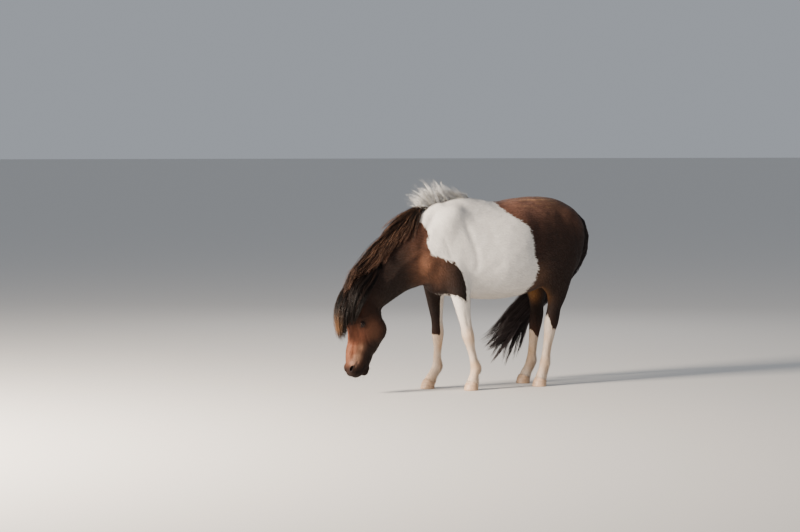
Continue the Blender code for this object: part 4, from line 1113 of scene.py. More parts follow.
# hair is one mesh for each piece, with a three-sided strand for every path
def strandMesh(name, paths, across, wide, thin, colours, uvs, material, facing=None):
    count, stations = paths.shape[:2]
    rings = stations - 1
    along = unit(np.gradient(paths, axis=1))
    across = unit(across - along * np.sum(across * along, axis=2)[..., None])
    up = np.cross(across, along)
    corners = []
    for a, b in ((-1.0, -0.4), (1.0, -0.4), (0.0, 0.8)):
        sideways, upwards = across[:, :rings] * (a * wide)[..., None], up[:, :rings] * (b * thin)[..., None]
        corners.append(paths[:, :rings] + sideways + upwards)
    body = np.stack(corners, axis=2).reshape(count, rings * 3, 3)
    verts = np.concatenate([body, paths[:, -1:]], axis=1).reshape(-1, 3)
    perStrand = rings * 3 + 1
    faces = [(0, 2, 1)]
    for r in range(rings - 1):
        for k in range(3):
            a, b = r * 3 + k, r * 3 + (k + 1) % 3
            faces += [(a, b, b + 3), (a, b + 3, a + 3)]
    last = (rings - 1) * 3
    faces += [(last + k, last + (k + 1) % 3, perStrand - 1) for k in range(3)]
    faces = np.array(faces)
    allFaces = (faces[None] + (np.arange(count) * perStrand)[:, None, None]).reshape(-1, 3)
    test = verts[allFaces[: len(faces)]] - paths[0, 0]
    if np.linalg.det(test).sum() < 0:
        allFaces = allFaces[:, ::-1]
    mesh = bpy.data.meshes.new(name)
    mesh.vertices.add(len(verts))
    mesh.vertices.foreach_set("co", verts.astype(np.float32).ravel())
    mesh.loops.add(allFaces.size)
    mesh.loops.foreach_set("vertex_index", allFaces.astype(np.int32).ravel())
    mesh.polygons.add(len(allFaces))
    mesh.polygons.foreach_set("loop_start", np.arange(0, allFaces.size, 3, dtype=np.int32))
    mesh.update(calc_edges=True)
    mesh.materials.append(material)
    shades = np.repeat(colours[:, :rings], 3, axis=1)
    addColours(mesh, "hairColour", np.concatenate([shades, colours[:, -1:]], axis=1).reshape(-1, 3))
    tile = 0.003  # each strand's patch of the map
    offsets = [(x, tile * r / rings) for r in range(rings) for x in (-tile / 2, tile / 2, 0.0)]
    spots = (uvs[:, None] + np.array([*offsets, (0.0, tile)])[None]).reshape(-1, 2)
    layer = mesh.uv_layers.new(name="OFBake")
    layer.uv.foreach_set("vector", spots[allFaces.ravel()].astype(np.float32).ravel())
    if facing is not None:  # short hairs are lit like the skin they lie on
        leaning = np.array([-0.45, 0.45, 0.0])[None, None, :, None]
        soft = facing[:, None, None] + across[:, :rings, None] * leaning
        soft = np.concatenate([soft.reshape(count, rings * 3, 3), facing[:, None]], axis=1)
        mesh.normals_split_custom_set_from_vertices(unit(soft).reshape(-1, 3).tolist())
    return linkedObject(name, mesh)


def unwrapped(places, normals):
    # where each root lies on an unwrap of the skin: a tile for each part and each way it faces
    x, y, z = places.T
    part = np.select(
        [headAhead(places) > 0, (z < 0.7) & (x < -0.1), (z < 0.7) & (x > 0.16), x < -0.62, x < 0.0],
        [0, 1 + (y > 0), 3 + (y > 0), 5, 6],
        7,
    )
    face = np.argmax(np.abs(normals), axis=1)
    way = face * 2 + (normals[np.arange(len(normals)), face] > 0)
    flatU, flatV = np.where(face == 0, y, x), np.where(face == 2, y, z)
    spots = np.zeros((len(places), 2))
    for p in range(8):
        for w in range(6):
            here = (part == p) & (way == w)
            if not here.any():
                continue
            for axis, flat, cells, cell in ((0, flatU, 8, p), (1, flatV, 6, w)):
                low, high = flat[here].min(), flat[here].max()
                share = (flat[here] - low) / max(high - low, 1e-6)
                spots[here, axis] = (cell + 0.04 + 0.9 * share) / cells
    return spots


skin.data.calc_loop_triangles()
skinTriangles = np.empty(len(skin.data.loop_triangles) * 3, np.int32)
skin.data.loop_triangles.foreach_get("vertices", skinTriangles)
skinTriangles = skinTriangles.reshape(-1, 3)
triangleCorners = skinPlaces[skinTriangles]
firstEdges, lastEdges = (triangleCorners[:, k] - triangleCorners[:, 0] for k in (1, 2))
triangleAreas = np.linalg.norm(np.cross(firstEdges, lastEdges), axis=1) / 2
triangleMiddles = triangleCorners.mean(axis=1)
triangleNormals = unit(skinNormals[skinTriangles].mean(axis=1))
print("skin triangles", len(skinTriangles))


def rootsOn(count, density):
    total = np.cumsum(triangleAreas * density(triangleMiddles, triangleNormals))
    picked = np.searchsorted(total, (np.arange(count) + rng.random(count)) / count * total[-1])
    picked = np.minimum(picked, len(total) - 1)
    a, b = np.sqrt(rng.random(count)), rng.random(count)
    shares = np.column_stack((1 - a, a * (1 - b), a * b))
    roots = np.sum(triangleCorners[picked] * shares[..., None], axis=1)
    facing = unit(np.sum(skinNormals[skinTriangles[picked]] * shares[..., None], axis=1))
    return roots, facing


coat = {
    "length": {"body": 0.022, "legs": 0.012, "head": 0.0115, "muzzle": 0.006, "belly": 0.45},
    "width": {"body": 0.004, "legs": 0.0026, "head": 0.0014},
    "stand": {"body": 0.025, "legs": -0.013, "belly": 0.07},
    "turn": 0.12,  # how far the hairs differ in the way they point
    "counts": {
        "coatHead": 17000,
        "coatNeck": 15000,
        "coatLeft": 18000,
        "coatRight": 18000,
        "coatLegs": 17000,
    },
}


def coatMeasure(places, normals):
    # length, width and stand of the coat at each place
    onHead, low = smoothStep(-0.05, 0.05, headAhead(places)), smoothStep(0.75, 0.5, places[:, 2])
    length, width, stand = coat["length"], coat["width"], coat["stand"]
    long = length["body"] + (length["legs"] - length["body"]) * low
    long = long + (length["head"] - long) * onHead
    long = long + (length["muzzle"] - long) * onHead * smoothStep(0.28, 0.2, places[:, 2])
    under = smoothStep(-0.3, -0.8, normals[:, 2]) * (1 - onHead) * (1 - low)
    wide = width["body"] + (width["legs"] - width["body"]) * low
    rise = stand["body"] + stand["legs"] * low
    rise = rise + stand["belly"] * smoothStep(0.0, -0.7, normals[:, 2]) * (1 - low)
    return long * (1 + length["belly"] * under), wide + (width["head"] - wide) * onHead, rise


def coatPart(name, places):
    # where a piece of the coat grows: not on the lids, in the nostrils, on the lips or under the hooves
    onHead, low, left = headAhead(places) > 0, places[:, 2] <= 0.6, places[:, 1] < 0
    neck = places[:, 0] < -0.5
    parts = {
        "coatHead": onHead,
        "coatNeck": ~onHead & ~low & neck,
        "coatLeft": ~onHead & ~low & ~neck & left,
        "coatRight": ~onHead & ~low & ~neck & ~left,
        "coatLegs": ~onHead & low,
    }
    return parts[name] & (bareness(places) < 0.5) & (places[:, 2] > 0.045)


def growTufts(name, count, density, measure):
    roots, facing = rootsOn(count, density)
    length, width, stand = measure(roots, facing)
    lie = coatLie(roots, facing)
    angle = rng.normal(0, coat["turn"], count) + 0.22 * latticeNoise(roots, 0.07, 5)
    side = np.cross(facing, lie)
    lie = lie * np.cos(angle)[:, None] + side * np.sin(angle)[:, None]
    side = np.cross(facing, lie)
    size = length * rng.uniform(0.75, 1.25, count)
    lift = stand * rng.uniform(0.5, 1.5, count)
    onHead = smoothStep(-0.05, 0.05, headAhead(roots))
    close = np.maximum(onHead, smoothStep(0.75, 0.5, roots[:, 2]))  # lies flatter on the face and legs
    paths = np.empty((count, 3, 3))
    paths[:, 0] = roots - facing * 0.0015
    for k, (s, rise) in enumerate(((0.45, 0.35), (1.0, 1.0)), 1):
        found, ways = nearestOn(skinTree, roots + lie * (size * s)[:, None])
        paths[:, k] = found + ways * (0.0009 - 0.0005 * close + size * lift * rise)[:, None]
    shade = coatColour(roots, rng.normal(0, 0.004, count))
    pale = smoothStep(0.25, 0.5, shade[:, 1])  # white hairs differ less from each other
    patchy = rng.random(count) - 0.5 + 0.35 * latticeNoise(roots * (0.45, 1.0, 1.0), 0.022, 8)
    shade = shade * (1 + patchy * (0.66 - 0.48 * pale) * (1 - 0.55 * onHead))[:, None]
    fade = np.array([[0.8, 1.0, 1.1]]) ** ((1 - 0.7 * pale) * (1 - 0.5 * onHead))[:, None]
    colours = np.minimum(shade[:, None] * fade[..., None], 0.9)
    size = width * rng.uniform(0.55, 1.15, count)
    wide = np.column_stack((size * 0.42, size * 0.5))
    across, uvs = np.repeat(side[:, None], 3, axis=1), unwrapped(roots, facing)
    return strandMesh(name, paths, across, wide, wide * 0.22, colours, uvs, tuftMaterial, facing)


coats = []
for name, count in coat["counts"].items():
    coats.append(growTufts(name, count, lambda p, n, name=name: coatPart(name, p), coatMeasure))
print("coat grown")


# long hair: guide lines laid over the skin, and a lock of strands round each
def layGuides(roots, starts, headingAt, lengths, clears, turnBy=0.3, fall=0.0, steps=26):
    paths = np.empty((len(roots), steps, 3))
    at = roots.copy()
    paths[:, 0] = roots - starts * 0.006
    for k in range(1, steps):
        s = k / (steps - 1)
        share = float(smoothStep(0, turnBy, s))
        aim = unit(starts * (1 - share) + headingAt(at, s) * share) + np.array((0, 0, -fall * s))
        at = at + unit(aim) * (lengths / (steps - 1))[:, None]
        found, ways = nearestOn(skinTree, at)
        away = np.sum((at - found) * ways, axis=1)
        push = np.maximum(clears * smoothStep(0, 0.35, s) - away, 0)
        at = at + ways * push[:, None]
        paths[:, k] = at
    return paths


def along(guides, which, s):
    # the places at shares s of the guides chosen for each strand
    steps = guides.shape[1] - 1
    low = np.clip(np.floor(s * steps).astype(int), 0, steps - 1)
    part = (s * steps - low)[..., None]
    rows = np.arange(len(which))[:, None]
    chosen = guides[which]
    return chosen[rows, low] * (1 - part) + chosen[rows, low + 1] * part


def strandColours(look, which, s, endX):
    # a base colour with lighter streaks, which goes to the tip's colour, or, for a painted highlight, only
    # in ends that lie ahead towards the light
    base, streak, tip = (linearColour(code) for code in look["colours"])
    count = len(which)
    lock = np.random.default_rng(5).random(which.max() + 1)[which]
    pick = (rng.random(count) < look["streaks"]) * rng.uniform(0.3, 1.0, count)
    shade = base + (streak - base) * np.clip(pick + 0.25 * (lock - 0.5), 0, 1)[:, None]
    shade = shade * (1 + 0.35 * (rng.random(count) - 0.5) + 0.56 * (lock - 0.5))[:, None]
    toTip = smoothStep(look["tipFrom"], 1.0, s) * rng.uniform(0.3, 1.0, count)[:, None]
    if "litTipsAhead" in look:
        toTip = toTip * smoothStep(*look["litTipsAhead"], endX)[:, None]
    return shade[:, None] + (tip - shade[:, None]) * toTip[..., None]


def strandsRound(name, guides, facing, look):
    rings = look["rings"]
    per = look["strands"]
    count = len(guides) * per
    which = np.repeat(np.arange(len(guides)), per)
    runs = unit(np.gradient(guides, axis=1))
    sides = unit(np.cross(runs, facing[:, None]))
    tops = np.cross(sides, runs)
    radius, turn = np.sqrt(rng.random(count)), rng.random(count) * math.tau
    a, b = radius * np.cos(turn), radius * np.sin(turn)
    reach = 1 - (1 - look["shortest"]) * rng.random(count) ** 1.5 * (0.4 + 0.6 * radius)
    reach = reach * rng.uniform(look["ends"], 1.0, len(guides))[which]
    s = reach[:, None] * np.linspace(0, 1, rings + 1)[None]
    full = (0.55 + 0.45 * smoothStep(0, 0.3, s)) * (1 - (1 - look["point"]) * smoothStep(0.4, 1.0, s))
    wave = look["curl"] * s * np.sin(rng.uniform(1.5, 3.2, count)[:, None] * math.tau * s + turn[:, None])
    stray = look["stray"] * (rng.normal(0, 1, (count, 2, 1)) * s[:, None] ** 1.6)
    paths = along(guides, which, s)
    sideways = a[:, None] * look["wide"] * full + wave + stray[:, 0]
    upwards = b[:, None] * look["thin"] * full + 0.5 * wave + stray[:, 1]
    paths = paths + along(sides, which, s) * sideways[..., None]
    paths = paths + along(tops, which, s) * upwards[..., None]
    taper = (1 - 0.65 * np.linspace(0, 1, rings + 1)[:rings] ** 2)[None]
    wide = look["width"] * rng.uniform(0.7, 1.3, count)[:, None] * taper
    colours = np.clip(strandColours(look, which, s, paths[:, -1, 0]), 0, 0.9)
    uvs = unwrapped(paths[:, 0], facing[which])
    return strandMesh(name, paths, along(sides, which, s), wide, wide * 0.6, colours, uvs, longMaterial)


def crestAt(x):
    found, way = skinTree.ray_cast(Vector((x, 0, 2)), Vector((0, 0, -1)))[:2]
    return np.array(found), np.array(way)


def crestRoots(xs, offset):
    roots, ways = zip(*(crestAt(float(x)) for x in xs))
    roots, ways = np.array(roots), unit(np.array(ways) * (1, 0, 1))
    roots[:, 1] += offset
    found, facing = nearestOn(skinTree, roots)
    return found, ways, facing


def joinedRows(bundles):
    return [np.concatenate(parts) for parts in zip(*bundles)]


def spreadOver(low, high, count):
    return low + (high - low) * (np.arange(count) + rng.random(count)) / count


# the mane's outer and lower lines, which its hairs run along, from the withers to past the poll
maneLines = {
    "outer": [
        (-0.635, 1.341), (-0.765, 1.272), (-0.879, 1.204), (-1.007, 1.087), (-1.126, 0.951),
        (-1.213, 0.828), (-1.272, 0.713), (-1.325, 0.598), (-1.345, 0.4),
    ],
    "lower": [
        (-0.69, 1.28), (-0.715, 1.2), (-0.756, 1.1), (-0.81, 1.006), (-0.955, 0.852),
        (-1.047, 0.741), (-1.14, 0.68), (-1.23, 0.62), (-1.29, 0.5), (-1.31, 0.35),
    ],
}
maneGroups = {
    # low says how far towards the lower line its hairs turn, and drop how steep they start
    "low": {"count": 38, "from": (-0.6, -0.96), "length": (0.36, 0.48), "clear": (0.008, 0.018),
            "low": 1.0, "drop": 1.8, "out": -0.25, "y": -0.016},
    "middle": {"count": 38, "from": (-0.59, -1.06), "length": (0.36, 0.46), "clear": (0.012, 0.028),
               "low": 0.7, "drop": 1.0, "out": -0.16, "y": -0.007},
    "top": {"count": 32, "from": (-0.6, -1.05), "length": (0.34, 0.46), "clear": (0.028, 0.046),
            "low": 0.0, "drop": 0.06, "out": -0.04, "y": 0.0},
    "poll": {"count": 18, "from": (-0.98, -1.12), "length": (0.26, 0.36), "clear": (0.012, 0.034),
             "low": 0.8, "drop": 0.1, "out": -0.12, "y": -0.028},
    "far": {"count": 16, "from": (-0.66, -1.04), "length": (0.2, 0.28), "clear": (0.008, 0.026),
            "low": 0.4, "drop": 0.6, "out": 0.4, "y": 0.012},
}
# wide and thin are a lock's half width and thickness, and ends how much shorter some locks are
maneLook = {
    "strands": 24, "rings": 9, "wide": 0.027, "thin": 0.013, "point": 0.2, "curl": 0.006, "stray": 0.0045,
    "shortest": 0.6, "ends": 0.82, "width": 0.0014, "colours": ("#0f0a08", "#7a5b48", "#4e3427"),
    "tipFrom": 0.5, "streaks": 0.22,
}


def lineHeading(name, x):
    line = np.array(maneLines[name])
    steps, middles = np.diff(line, axis=0), (line[1:, 0] + line[:-1, 0]) / 2
    slope = np.interp(-x, -middles, np.arctan2(steps[:, 1], steps[:, 0]) % math.tau)
    return np.column_stack((np.cos(slope), np.zeros(len(x)), np.sin(slope)))


def maneGuides(group):
    n = group["count"]
    xs = spreadOver(*group["from"], n)
    roots, ways, facing = crestRoots(xs, group["y"] + rng.normal(0, 0.004, n))
    astray = rng.normal(0, 0.06, (n, 3))
    lengths, clears = rng.uniform(*group["length"], n), rng.uniform(*group["clear"], n)
    starts = unit(ways * 0.8 + lineHeading("outer", xs) * 0.6)

    def headingAt(at, s):
        x = at[:, 0]
        aim = lineHeading("outer", x) * (1 - group["low"]) + lineHeading("lower", x) * group["low"]
        drop = group["drop"] * (1 - smoothStep(0.1, 0.75, s)) * smoothStep(-1.15, -0.95, x)
        return unit(aim + astray + np.column_stack((0 * x, 0 * x + group["out"], -drop)))

    return layGuides(roots, starts, headingAt, lengths, clears), facing


mane = strandsRound("mane", *joinedRows(maneGuides(group) for group in maneGroups.values()), maneLook)
print("mane", len(mane.data.polygons))

withersLook = {
    "strands": 9, "rings": 7, "wide": 0.012, "thin": 0.01, "point": 0.45, "curl": 0.004, "stray": 0.01,
    "shortest": 0.3, "ends": 0.55, "width": 0.001, "colours": ("#f0ece4", "#faf7f2", "#fbf8f3"),
    "tipFrom": 0.5, "streaks": 0.5,
    "count": 190, "from": (-0.26, -0.65), "length": 0.082, "crest": 0.16, "front": 0.075,
}


def withersGuides():
    # white hair that stands up on the withers and leans forwards
    n = withersLook["count"]
    xs = spreadOver(*withersLook["from"], n)
    roots, ways, facing = crestRoots(xs, rng.normal(-0.006, 0.013, n))
    steep = (hump(xs, -0.49, 0.14) * rng.uniform(0.2, 1.3, n))[:, None]
    starts = np.array((-0.66, -0.05, 0.5)) + steep * np.array((0.14, 0.0, 0.5))
    starts = starts + rng.normal(0, 0.11, (n, 3))
    ends = np.array((-0.98, -0.05, 0.06)) + steep * np.array((0.1, 0.0, 0.66))
    ends = ends + rng.normal(0, 0.13, (n, 3))
    lengths = withersLook["length"] + withersLook["crest"] * hump(xs, -0.48, 0.13)
    lengths = (lengths + withersLook["front"] * smoothStep(-0.48, -0.6, xs)) * rng.uniform(0.55, 1.1, n)
    clears, heading = rng.uniform(0.003, 0.026, n), unit(ends)
    return layGuides(roots, unit(starts), lambda at, s: heading, lengths, clears, 1.0, 0.06), facing


withersHair = strandsRound("withersHair", *withersGuides(), withersLook)
print("withers hair", len(withersHair.data.polygons))


def bundleGuides(stations, count, lie):
    # guides along a line that has a width and a thickness at each of its points
    rows = np.array(stations, float)
    steps = 26
    at = np.linspace(0, len(rows) - 1, steps)
    low = np.minimum(at.astype(int), len(rows) - 2)
    part = (at - low)[:, None]
    padded = np.vstack([2 * rows[0] - rows[1], rows, 2 * rows[-1] - rows[-2]])
    line = curveThrough(*(padded[low + k] for k in range(4)), part)
    centre, wide, thin = line[:, :3], line[:, 3], line[:, 4]
    run = unit(np.gradient(centre, axis=0))
    side = unit(np.cross(run, lie))
    top = np.cross(side, run)
    radius, turn = np.sqrt((np.arange(count) + 0.5) / count) * 0.95, np.arange(count) * 2.399963
    swayed = 0.1 * np.sin(np.linspace(0, 5, steps)[None] + rng.uniform(0, 6, (count, 1)))
    x = (radius * np.cos(turn))[:, None] + swayed
    y = (radius * np.sin(turn))[:, None] + 0.6 * swayed
    paths = centre[None] + side[None] * (x * wide[None])[..., None] + top[None] * (y * thin[None])[..., None]
    return paths, np.repeat(unit(np.array(lie, float))[None], count, axis=0)


def beadOff(paths, clear):
    # moves guides out of the skin
    found, ways = nearestOn(skinTree, paths.reshape(-1, 3))
    away = np.sum((paths.reshape(-1, 3) - found) * ways, axis=1)
    start = np.tile(smoothStep(0, 0.12, np.linspace(0, 1, paths.shape[1])), len(paths))
    push = np.where(away > -0.12, np.maximum(clear * start - away, 0) * (start > 0), 0)
    return paths + (ways * push[:, None]).reshape(paths.shape)


forelockStations = [
    (-1.065, -0.006, 0.925, 0.032, 0.016), (-1.15, -0.014, 0.835, 0.044, 0.022),
    (-1.235, -0.022, 0.735, 0.05, 0.026), (-1.292, -0.03, 0.64, 0.054, 0.032),
    (-1.312, -0.04, 0.545, 0.056, 0.038), (-1.31, -0.046, 0.45, 0.05, 0.036),
    (-1.298, -0.048, 0.365, 0.034, 0.024),
]
browStations = [  # the part that lies on the forehead, under the rest
    (-1.09, -0.022, 0.87, 0.034, 0.018), (-1.165, -0.036, 0.765, 0.05, 0.02),
    (-1.215, -0.048, 0.68, 0.06, 0.024), (-1.24, -0.052, 0.595, 0.058, 0.026),
    (-1.254, -0.05, 0.505, 0.052, 0.028), (-1.264, -0.05, 0.41, 0.042, 0.022),
]
earStations = [  # the part that sweeps down off the neck over the near ear
    (-1.0, -0.03, 0.93, 0.036, 0.016), (-1.09, -0.07, 0.83, 0.046, 0.018),
    (-1.186, -0.106, 0.735, 0.056, 0.022), (-1.232, -0.11, 0.645, 0.052, 0.022),
    (-1.248, -0.098, 0.555, 0.04, 0.02), (-1.262, -0.088, 0.465, 0.03, 0.016),
]
# the forelock's orange tips are a painted highlight, only on the ends that lie ahead towards the light
forelockLook = {
    "strands": 30, "rings": 9, "wide": 0.019, "thin": 0.013, "point": 0.22, "curl": 0.006, "stray": 0.0045,
    "shortest": 0.5, "ends": 0.88, "width": 0.0013, "colours": ("#0a0605", "#2e1c13", "#d8a070"),
    "tipFrom": 0.56, "streaks": 0.26, "litTipsAhead": (-1.305, -1.345),
}
browLook = {
    "strands": 30, "rings": 9, "wide": 0.019, "thin": 0.013, "point": 0.12, "curl": 0.006, "stray": 0.0045,
    "shortest": 0.35, "ends": 0.7, "width": 0.0013, "colours": ("#0a0605", "#24150e", "#0e0806"),
    "tipFrom": 0.6, "streaks": 0.24,
}
guides, facing = bundleGuides(forelockStations, 44, (-1.0, -0.2, 0.2))
forelock = strandsRound("forelock", beadOff(guides, 0.006), facing, forelockLook)
onBrow = bundleGuides(browStations, 26, (-1.0, -0.4, 0.2))
overEar = bundleGuides(earStations, 34, (-0.5, -1.0, 0.2))
guides, facing = joinedRows((onBrow, overEar))
browLock = strandsRound("browLock", beadOff(guides, 0.008), facing, browLook)
tailStations = [
    (0.65, 0.0, 1.215, 0.03, 0.024), (0.712, 0.015, 1.14, 0.044, 0.036),
    (0.738, 0.05, 1.0, 0.056, 0.042), (0.71, 0.13, 0.86, 0.07, 0.046),
    (0.62, 0.225, 0.725, 0.084, 0.048), (0.49, 0.285, 0.602, 0.094, 0.044),
    (0.372, 0.3, 0.49, 0.098, 0.042), (0.262, 0.3, 0.393, 0.096, 0.038),
    (0.15, 0.3, 0.322, 0.082, 0.032), (0.02, 0.298, 0.27, 0.062, 0.026),
]
wispStations = [  # thin ends that hang below the rest
    [(0.56, 0.262, 0.665, 0.016, 0.01), (0.44, 0.292, 0.47, 0.04, 0.026),
     (0.385, 0.3, 0.31, 0.04, 0.03), (0.325, 0.3, 0.11, 0.022, 0.02)],
    [(0.5, 0.276, 0.6, 0.016, 0.01), (0.375, 0.292, 0.415, 0.044, 0.028),
     (0.3, 0.3, 0.275, 0.044, 0.03), (0.225, 0.3, 0.09, 0.03, 0.02)],
    [(0.44, 0.288, 0.55, 0.016, 0.01), (0.31, 0.292, 0.375, 0.044, 0.028),
     (0.22, 0.3, 0.27, 0.044, 0.03), (0.11, 0.3, 0.13, 0.03, 0.02)],
    [(0.42, 0.288, 0.53, 0.016, 0.01), (0.27, 0.298, 0.38, 0.046, 0.028),
     (0.15, 0.3, 0.29, 0.046, 0.028), (0.03, 0.3, 0.21, 0.03, 0.02)],
]
tailLook = {
    "strands": 34, "rings": 11, "wide": 0.019, "thin": 0.013, "point": 0.15, "curl": 0.006, "stray": 0.006,
    "shortest": 0.55, "ends": 0.8, "width": 0.0015, "colours": ("#1d1718", "#4a4143", "#1c1516"),
    "tipFrom": 0.6, "streaks": 0.3,
}
tailLie = (0.15, 1.0, 0.1)
bundles = [bundleGuides(tailStations, 66, tailLie)]
bundles += [bundleGuides(stations, 4, tailLie) for stations in wispStations]
guides, facing = joinedRows(bundles)
tail = strandsRound("tailHair", beadOff(guides, 0.012), facing, tailLook)
print("forelock and tail", len(forelock.data.polygons), len(tail.data.polygons))


def overRim(places):
    # height over the rim of the hoof, which is lower at the heel
    feet = np.select(
        [(places[:, 0] < 0) & (places[:, 1] < 0), (places[:, 0] < 0), (places[:, 1] < 0)],
        [forePose[-1][-1][1], forePose[1][-1][1], hindPose[-1][-1][1]],
        hindPose[1][-1][1],
    )
    share = np.clip(0.5 + (feet - places[:, 0]) / 0.09, 0, 1)
    return places[:, 2] - hoofShape["heel"] - (hoofShape["toe"] - hoofShape["heel"]) * share


def onFetlocks(places, normals):
    z = places[:, 2]
    height = hump(z, 0.15, 0.035) + 0.5 * hump(z, 0.075, 0.012)
    behind = smoothStep(-0.2, 0.5, normals[:, 0]) + 0.1 * (z < 0.1)
    return height * behind * (z < 0.25) * (headAhead(places) <= 0)


def onJaw(places, normals):
    z = places[:, 2]
    height = smoothStep(0.2, 0.26, z) * smoothStep(0.62, 0.55, z)
    return (headAhead(places) > 0) * smoothStep(0.2, 0.7, normals[:, 0]) * height


def onBelly(places, normals):
    here = (headAhead(places) <= 0) & (places[:, 2] > 0.55) & (places[:, 0] > -0.9)
    return here * smoothStep(-0.4, -0.9, normals[:, 2])


def onCoronets(places, normals):
    return hump(overRim(places), 0.006, 0.008) * (places[:, 2] < 0.12) * (headAhead(places) <= 0)


# longer tufts: where they grow, how many, and their length, width and stand
fringes = {
    "feather": (onFetlocks, 2600, (0.042, 0.0022, 0.22)),
    "jawHair": (onJaw, 1500, (0.02, 0.002, 0.2)),
    "bellyHair": (onBelly, 2600, (0.034, 0.0036, 0.14)),
    "coronetHair": (onCoronets, 3400, (0.02, 0.0022, 0.4)),
}
fringeCoats = []
for name, (where, count, size) in fringes.items():
    fringeCoats.append(growTufts(name, count, where, lambda p, n, size=size: size))


def hairsFrom(name, roots, ways, lengths, width, colour, droop, rings=5):
    # single hairs that start along ways and bend down
    s, fall = np.linspace(0, 1, rings + 1), np.array((0, 0, -1.0))
    straight = ways[:, None] * (lengths[:, None] * s)[..., None]
    paths = roots[:, None] + straight + fall * (droop * lengths[:, None] * s**2)[..., None]
    wide = np.full((len(roots), rings), width) * (1 - 0.7 * s[:rings])[None]
    sides = np.repeat(unit(np.cross(ways, fall + 0.01))[:, None], rings + 1, axis=1)
    colours = np.repeat(colour[:, None], rings + 1, axis=1)
    return strandMesh(name, paths, sides, wide, wide * 0.7, colours, unwrapped(roots, ways), tuftMaterial)


singleHairs = {
    "lashes": {"count": 34, "length": (0.012, 0.017), "width": 0.00035, "colour": "#0e0a09", "droop": 0.35},
    "feelers": {"count": 150, "length": (0.018, 0.04), "width": 0.0003, "colour": "#2a1d18", "droop": 0.25},
    "ears": {"count": 260, "length": (0.014, 0.026), "width": 0.0009, "colour": "#4a3226", "droop": 0.1},
}


def growSingle(name, kind, roots, ways):
    look, count = singleHairs[kind], len(roots)
    colours = np.tile(linearColour(look["colour"]), (count, 1))
    lengths = rng.uniform(*look["length"], count)
    return hairsFrom(name, roots, ways, lengths, look["width"], colours, look["droop"])


# lashes on the upper lids
roots, ways = [], []
for side in (-1, 1):
    out, along1, across = eyeFrame(side)
    for turn in np.linspace(-math.pi + 0.5, -0.5, singleHairs["lashes"]["count"]):
        roots.append(lidPoint(side, turn, 1.0, eyeRadius + 0.0018))
        ways.append(out * 0.9 - across * 0.35 + along1 * (0.35 * math.cos(turn) + rng.normal(0, 0.08)))
eyelashes = growSingle("eyelashes", "lashes", np.array(roots), unit(np.array(ways)))


def onMuzzle(places, normals):
    return (headAhead(places) > 0) * (places[:, 2] < 0.215) * (bareness(places) < 0.9)


roots, facing = rootsOn(singleHairs["feelers"]["count"], onMuzzle)
feelers = growSingle("feelers", "feelers", roots, unit(facing + rng.normal(0, 0.25, facing.shape)))


def earHairs(side):
    # roots on the cup's wall, with hairs that lean out of it and towards the tip
    look = singleHairs["ears"]
    base, axis, opens, across = earFrame(side)
    n = look["count"]
    s, k = rng.uniform(0.05, 0.8, n), rng.uniform(-1, 1, n)
    reach = np.interp(s, earShape["stations"], earShape["widths"]) - earShape["wall"]
    deep = earShape["lift"] * reach - earShape["bow"] * np.sin(math.pi * s)
    deep = deep - 0.45 * reach * np.sqrt(1 - k**2)
    roots = base + axis * s[:, None] + across * (0.96 * reach * k)[:, None] + opens * deep[:, None]
    ways = opens * 0.75 + unit(axis) * 0.55 - across * (0.45 * k)[:, None]
    ways = ways + rng.normal(0, 0.16, (n, 3))
    shade = linearColour(look["colour"]) * rng.uniform(0.5, 1.3, n)[:, None]
    return roots, unit(ways), rng.uniform(*look["length"], n), shade


roots, ways, lengths, shades = joinedRows(earHairs(side) for side in (-1, 1))
earLook = singleHairs["ears"]
earFur = hairsFrom("earHair", roots, ways, lengths, earLook["width"], shades, earLook["droop"])
print("fringes made")

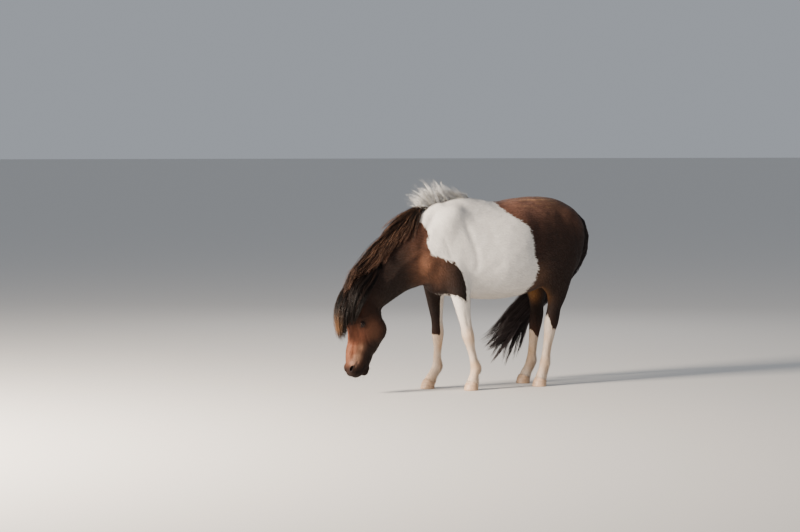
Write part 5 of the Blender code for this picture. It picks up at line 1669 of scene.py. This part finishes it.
legs = []
for kind in ("foreleg", "hindleg"):
    legs += [f"{kind}_{side}_{part}" for side in ("left", "right") for part in ("upper", "lower")]
finishPiece(skin, "brown_coat", "head", "neck", "torso", *legs)
finishPiece(ears[0], "brown_coat", "ear_left")
finishPiece(ears[1], "brown_coat", "ear_right")
finishPiece(eyes, "eye", "eye_left", "eye_right")
finishPiece(lids, "eye")
for name, hoof in hooves.items():
    finishPiece(hoof, "horn", name)
finishPiece(tail, "long_hair", "tail")
for piece in (mane, forelock, browLock, eyelashes, feelers):
    finishPiece(piece, "long_hair")
finishPiece(withersHair, "white_coat")
for piece in coats + fringeCoats + [earFur]:
    finishPiece(piece, "brown_coat")

studio = {
    "floor": "#d4d2cf",
    "sky": ("#e4ebf5", 0.44),
    "lights": {  # place, the height it shines at, power, size and colour
        "key": ((-8.3, -0.7, 3.1), 0.8, 3200.0, 1.9, "#ffefdc"),
        "fill": ((2.0, -8.5, 3.2), 0.7, 20.0, 4.5, "#e6edff"),
        "rim": ((3.5, 5.5, 4.5), 0.9, 70.0, 3.0, "#ffffff"),
    },
    "camera": (-8.8345, -14.3925, 1.7),
    "lens": 106.65,
    "heading": (0.5, 0.866),
    "tilt": math.atan2(116, 2370),  # the view falls this much
}
floorLook = {"Roughness": 0.9, "Base Color": opaque(studio["floor"])}  # matt paper
floorBm = bmesh.new()
bmesh.ops.create_grid(floorBm, x_segments=1, y_segments=1, size=400.0)
floor = meshObject("floor", floorBm, newMaterial("studio floor", floorLook)[0])

for name, (place, height, power, size, code) in studio["lights"].items():
    light = bpy.data.lights.new(name, "AREA")
    light.energy, light.size = power, size
    light.color = linearColour(code)
    lamp = linkedObject(name, light)
    lamp.location = place
    lamp.rotation_euler = (Vector((0, 0, height)) - Vector(place)).to_track_quat("-Z", "Y").to_euler()
skyCode, skyStrength = studio["sky"]
world = bpy.data.worlds.new("studio")
world.use_nodes = True
sky = world.node_tree.nodes["Background"]
setInputs(world.node_tree, sky, {"Color": opaque(skyCode), "Strength": skyStrength})
bpy.context.scene.world = world

view = bpy.data.cameras.new("view")
view.sensor_width, view.lens, view.clip_end = 36.0, studio["lens"], 900.0
camera = linkedObject("view", view)
camera.location = studio["camera"]
level = Vector(studio["heading"]) * math.cos(studio["tilt"])
aim = Vector((level.x, level.y, -math.sin(studio["tilt"])))
camera.rotation_euler = aim.to_track_quat("-Z", "Y").to_euler()
bpy.context.scene.camera = camera

print("scene done")
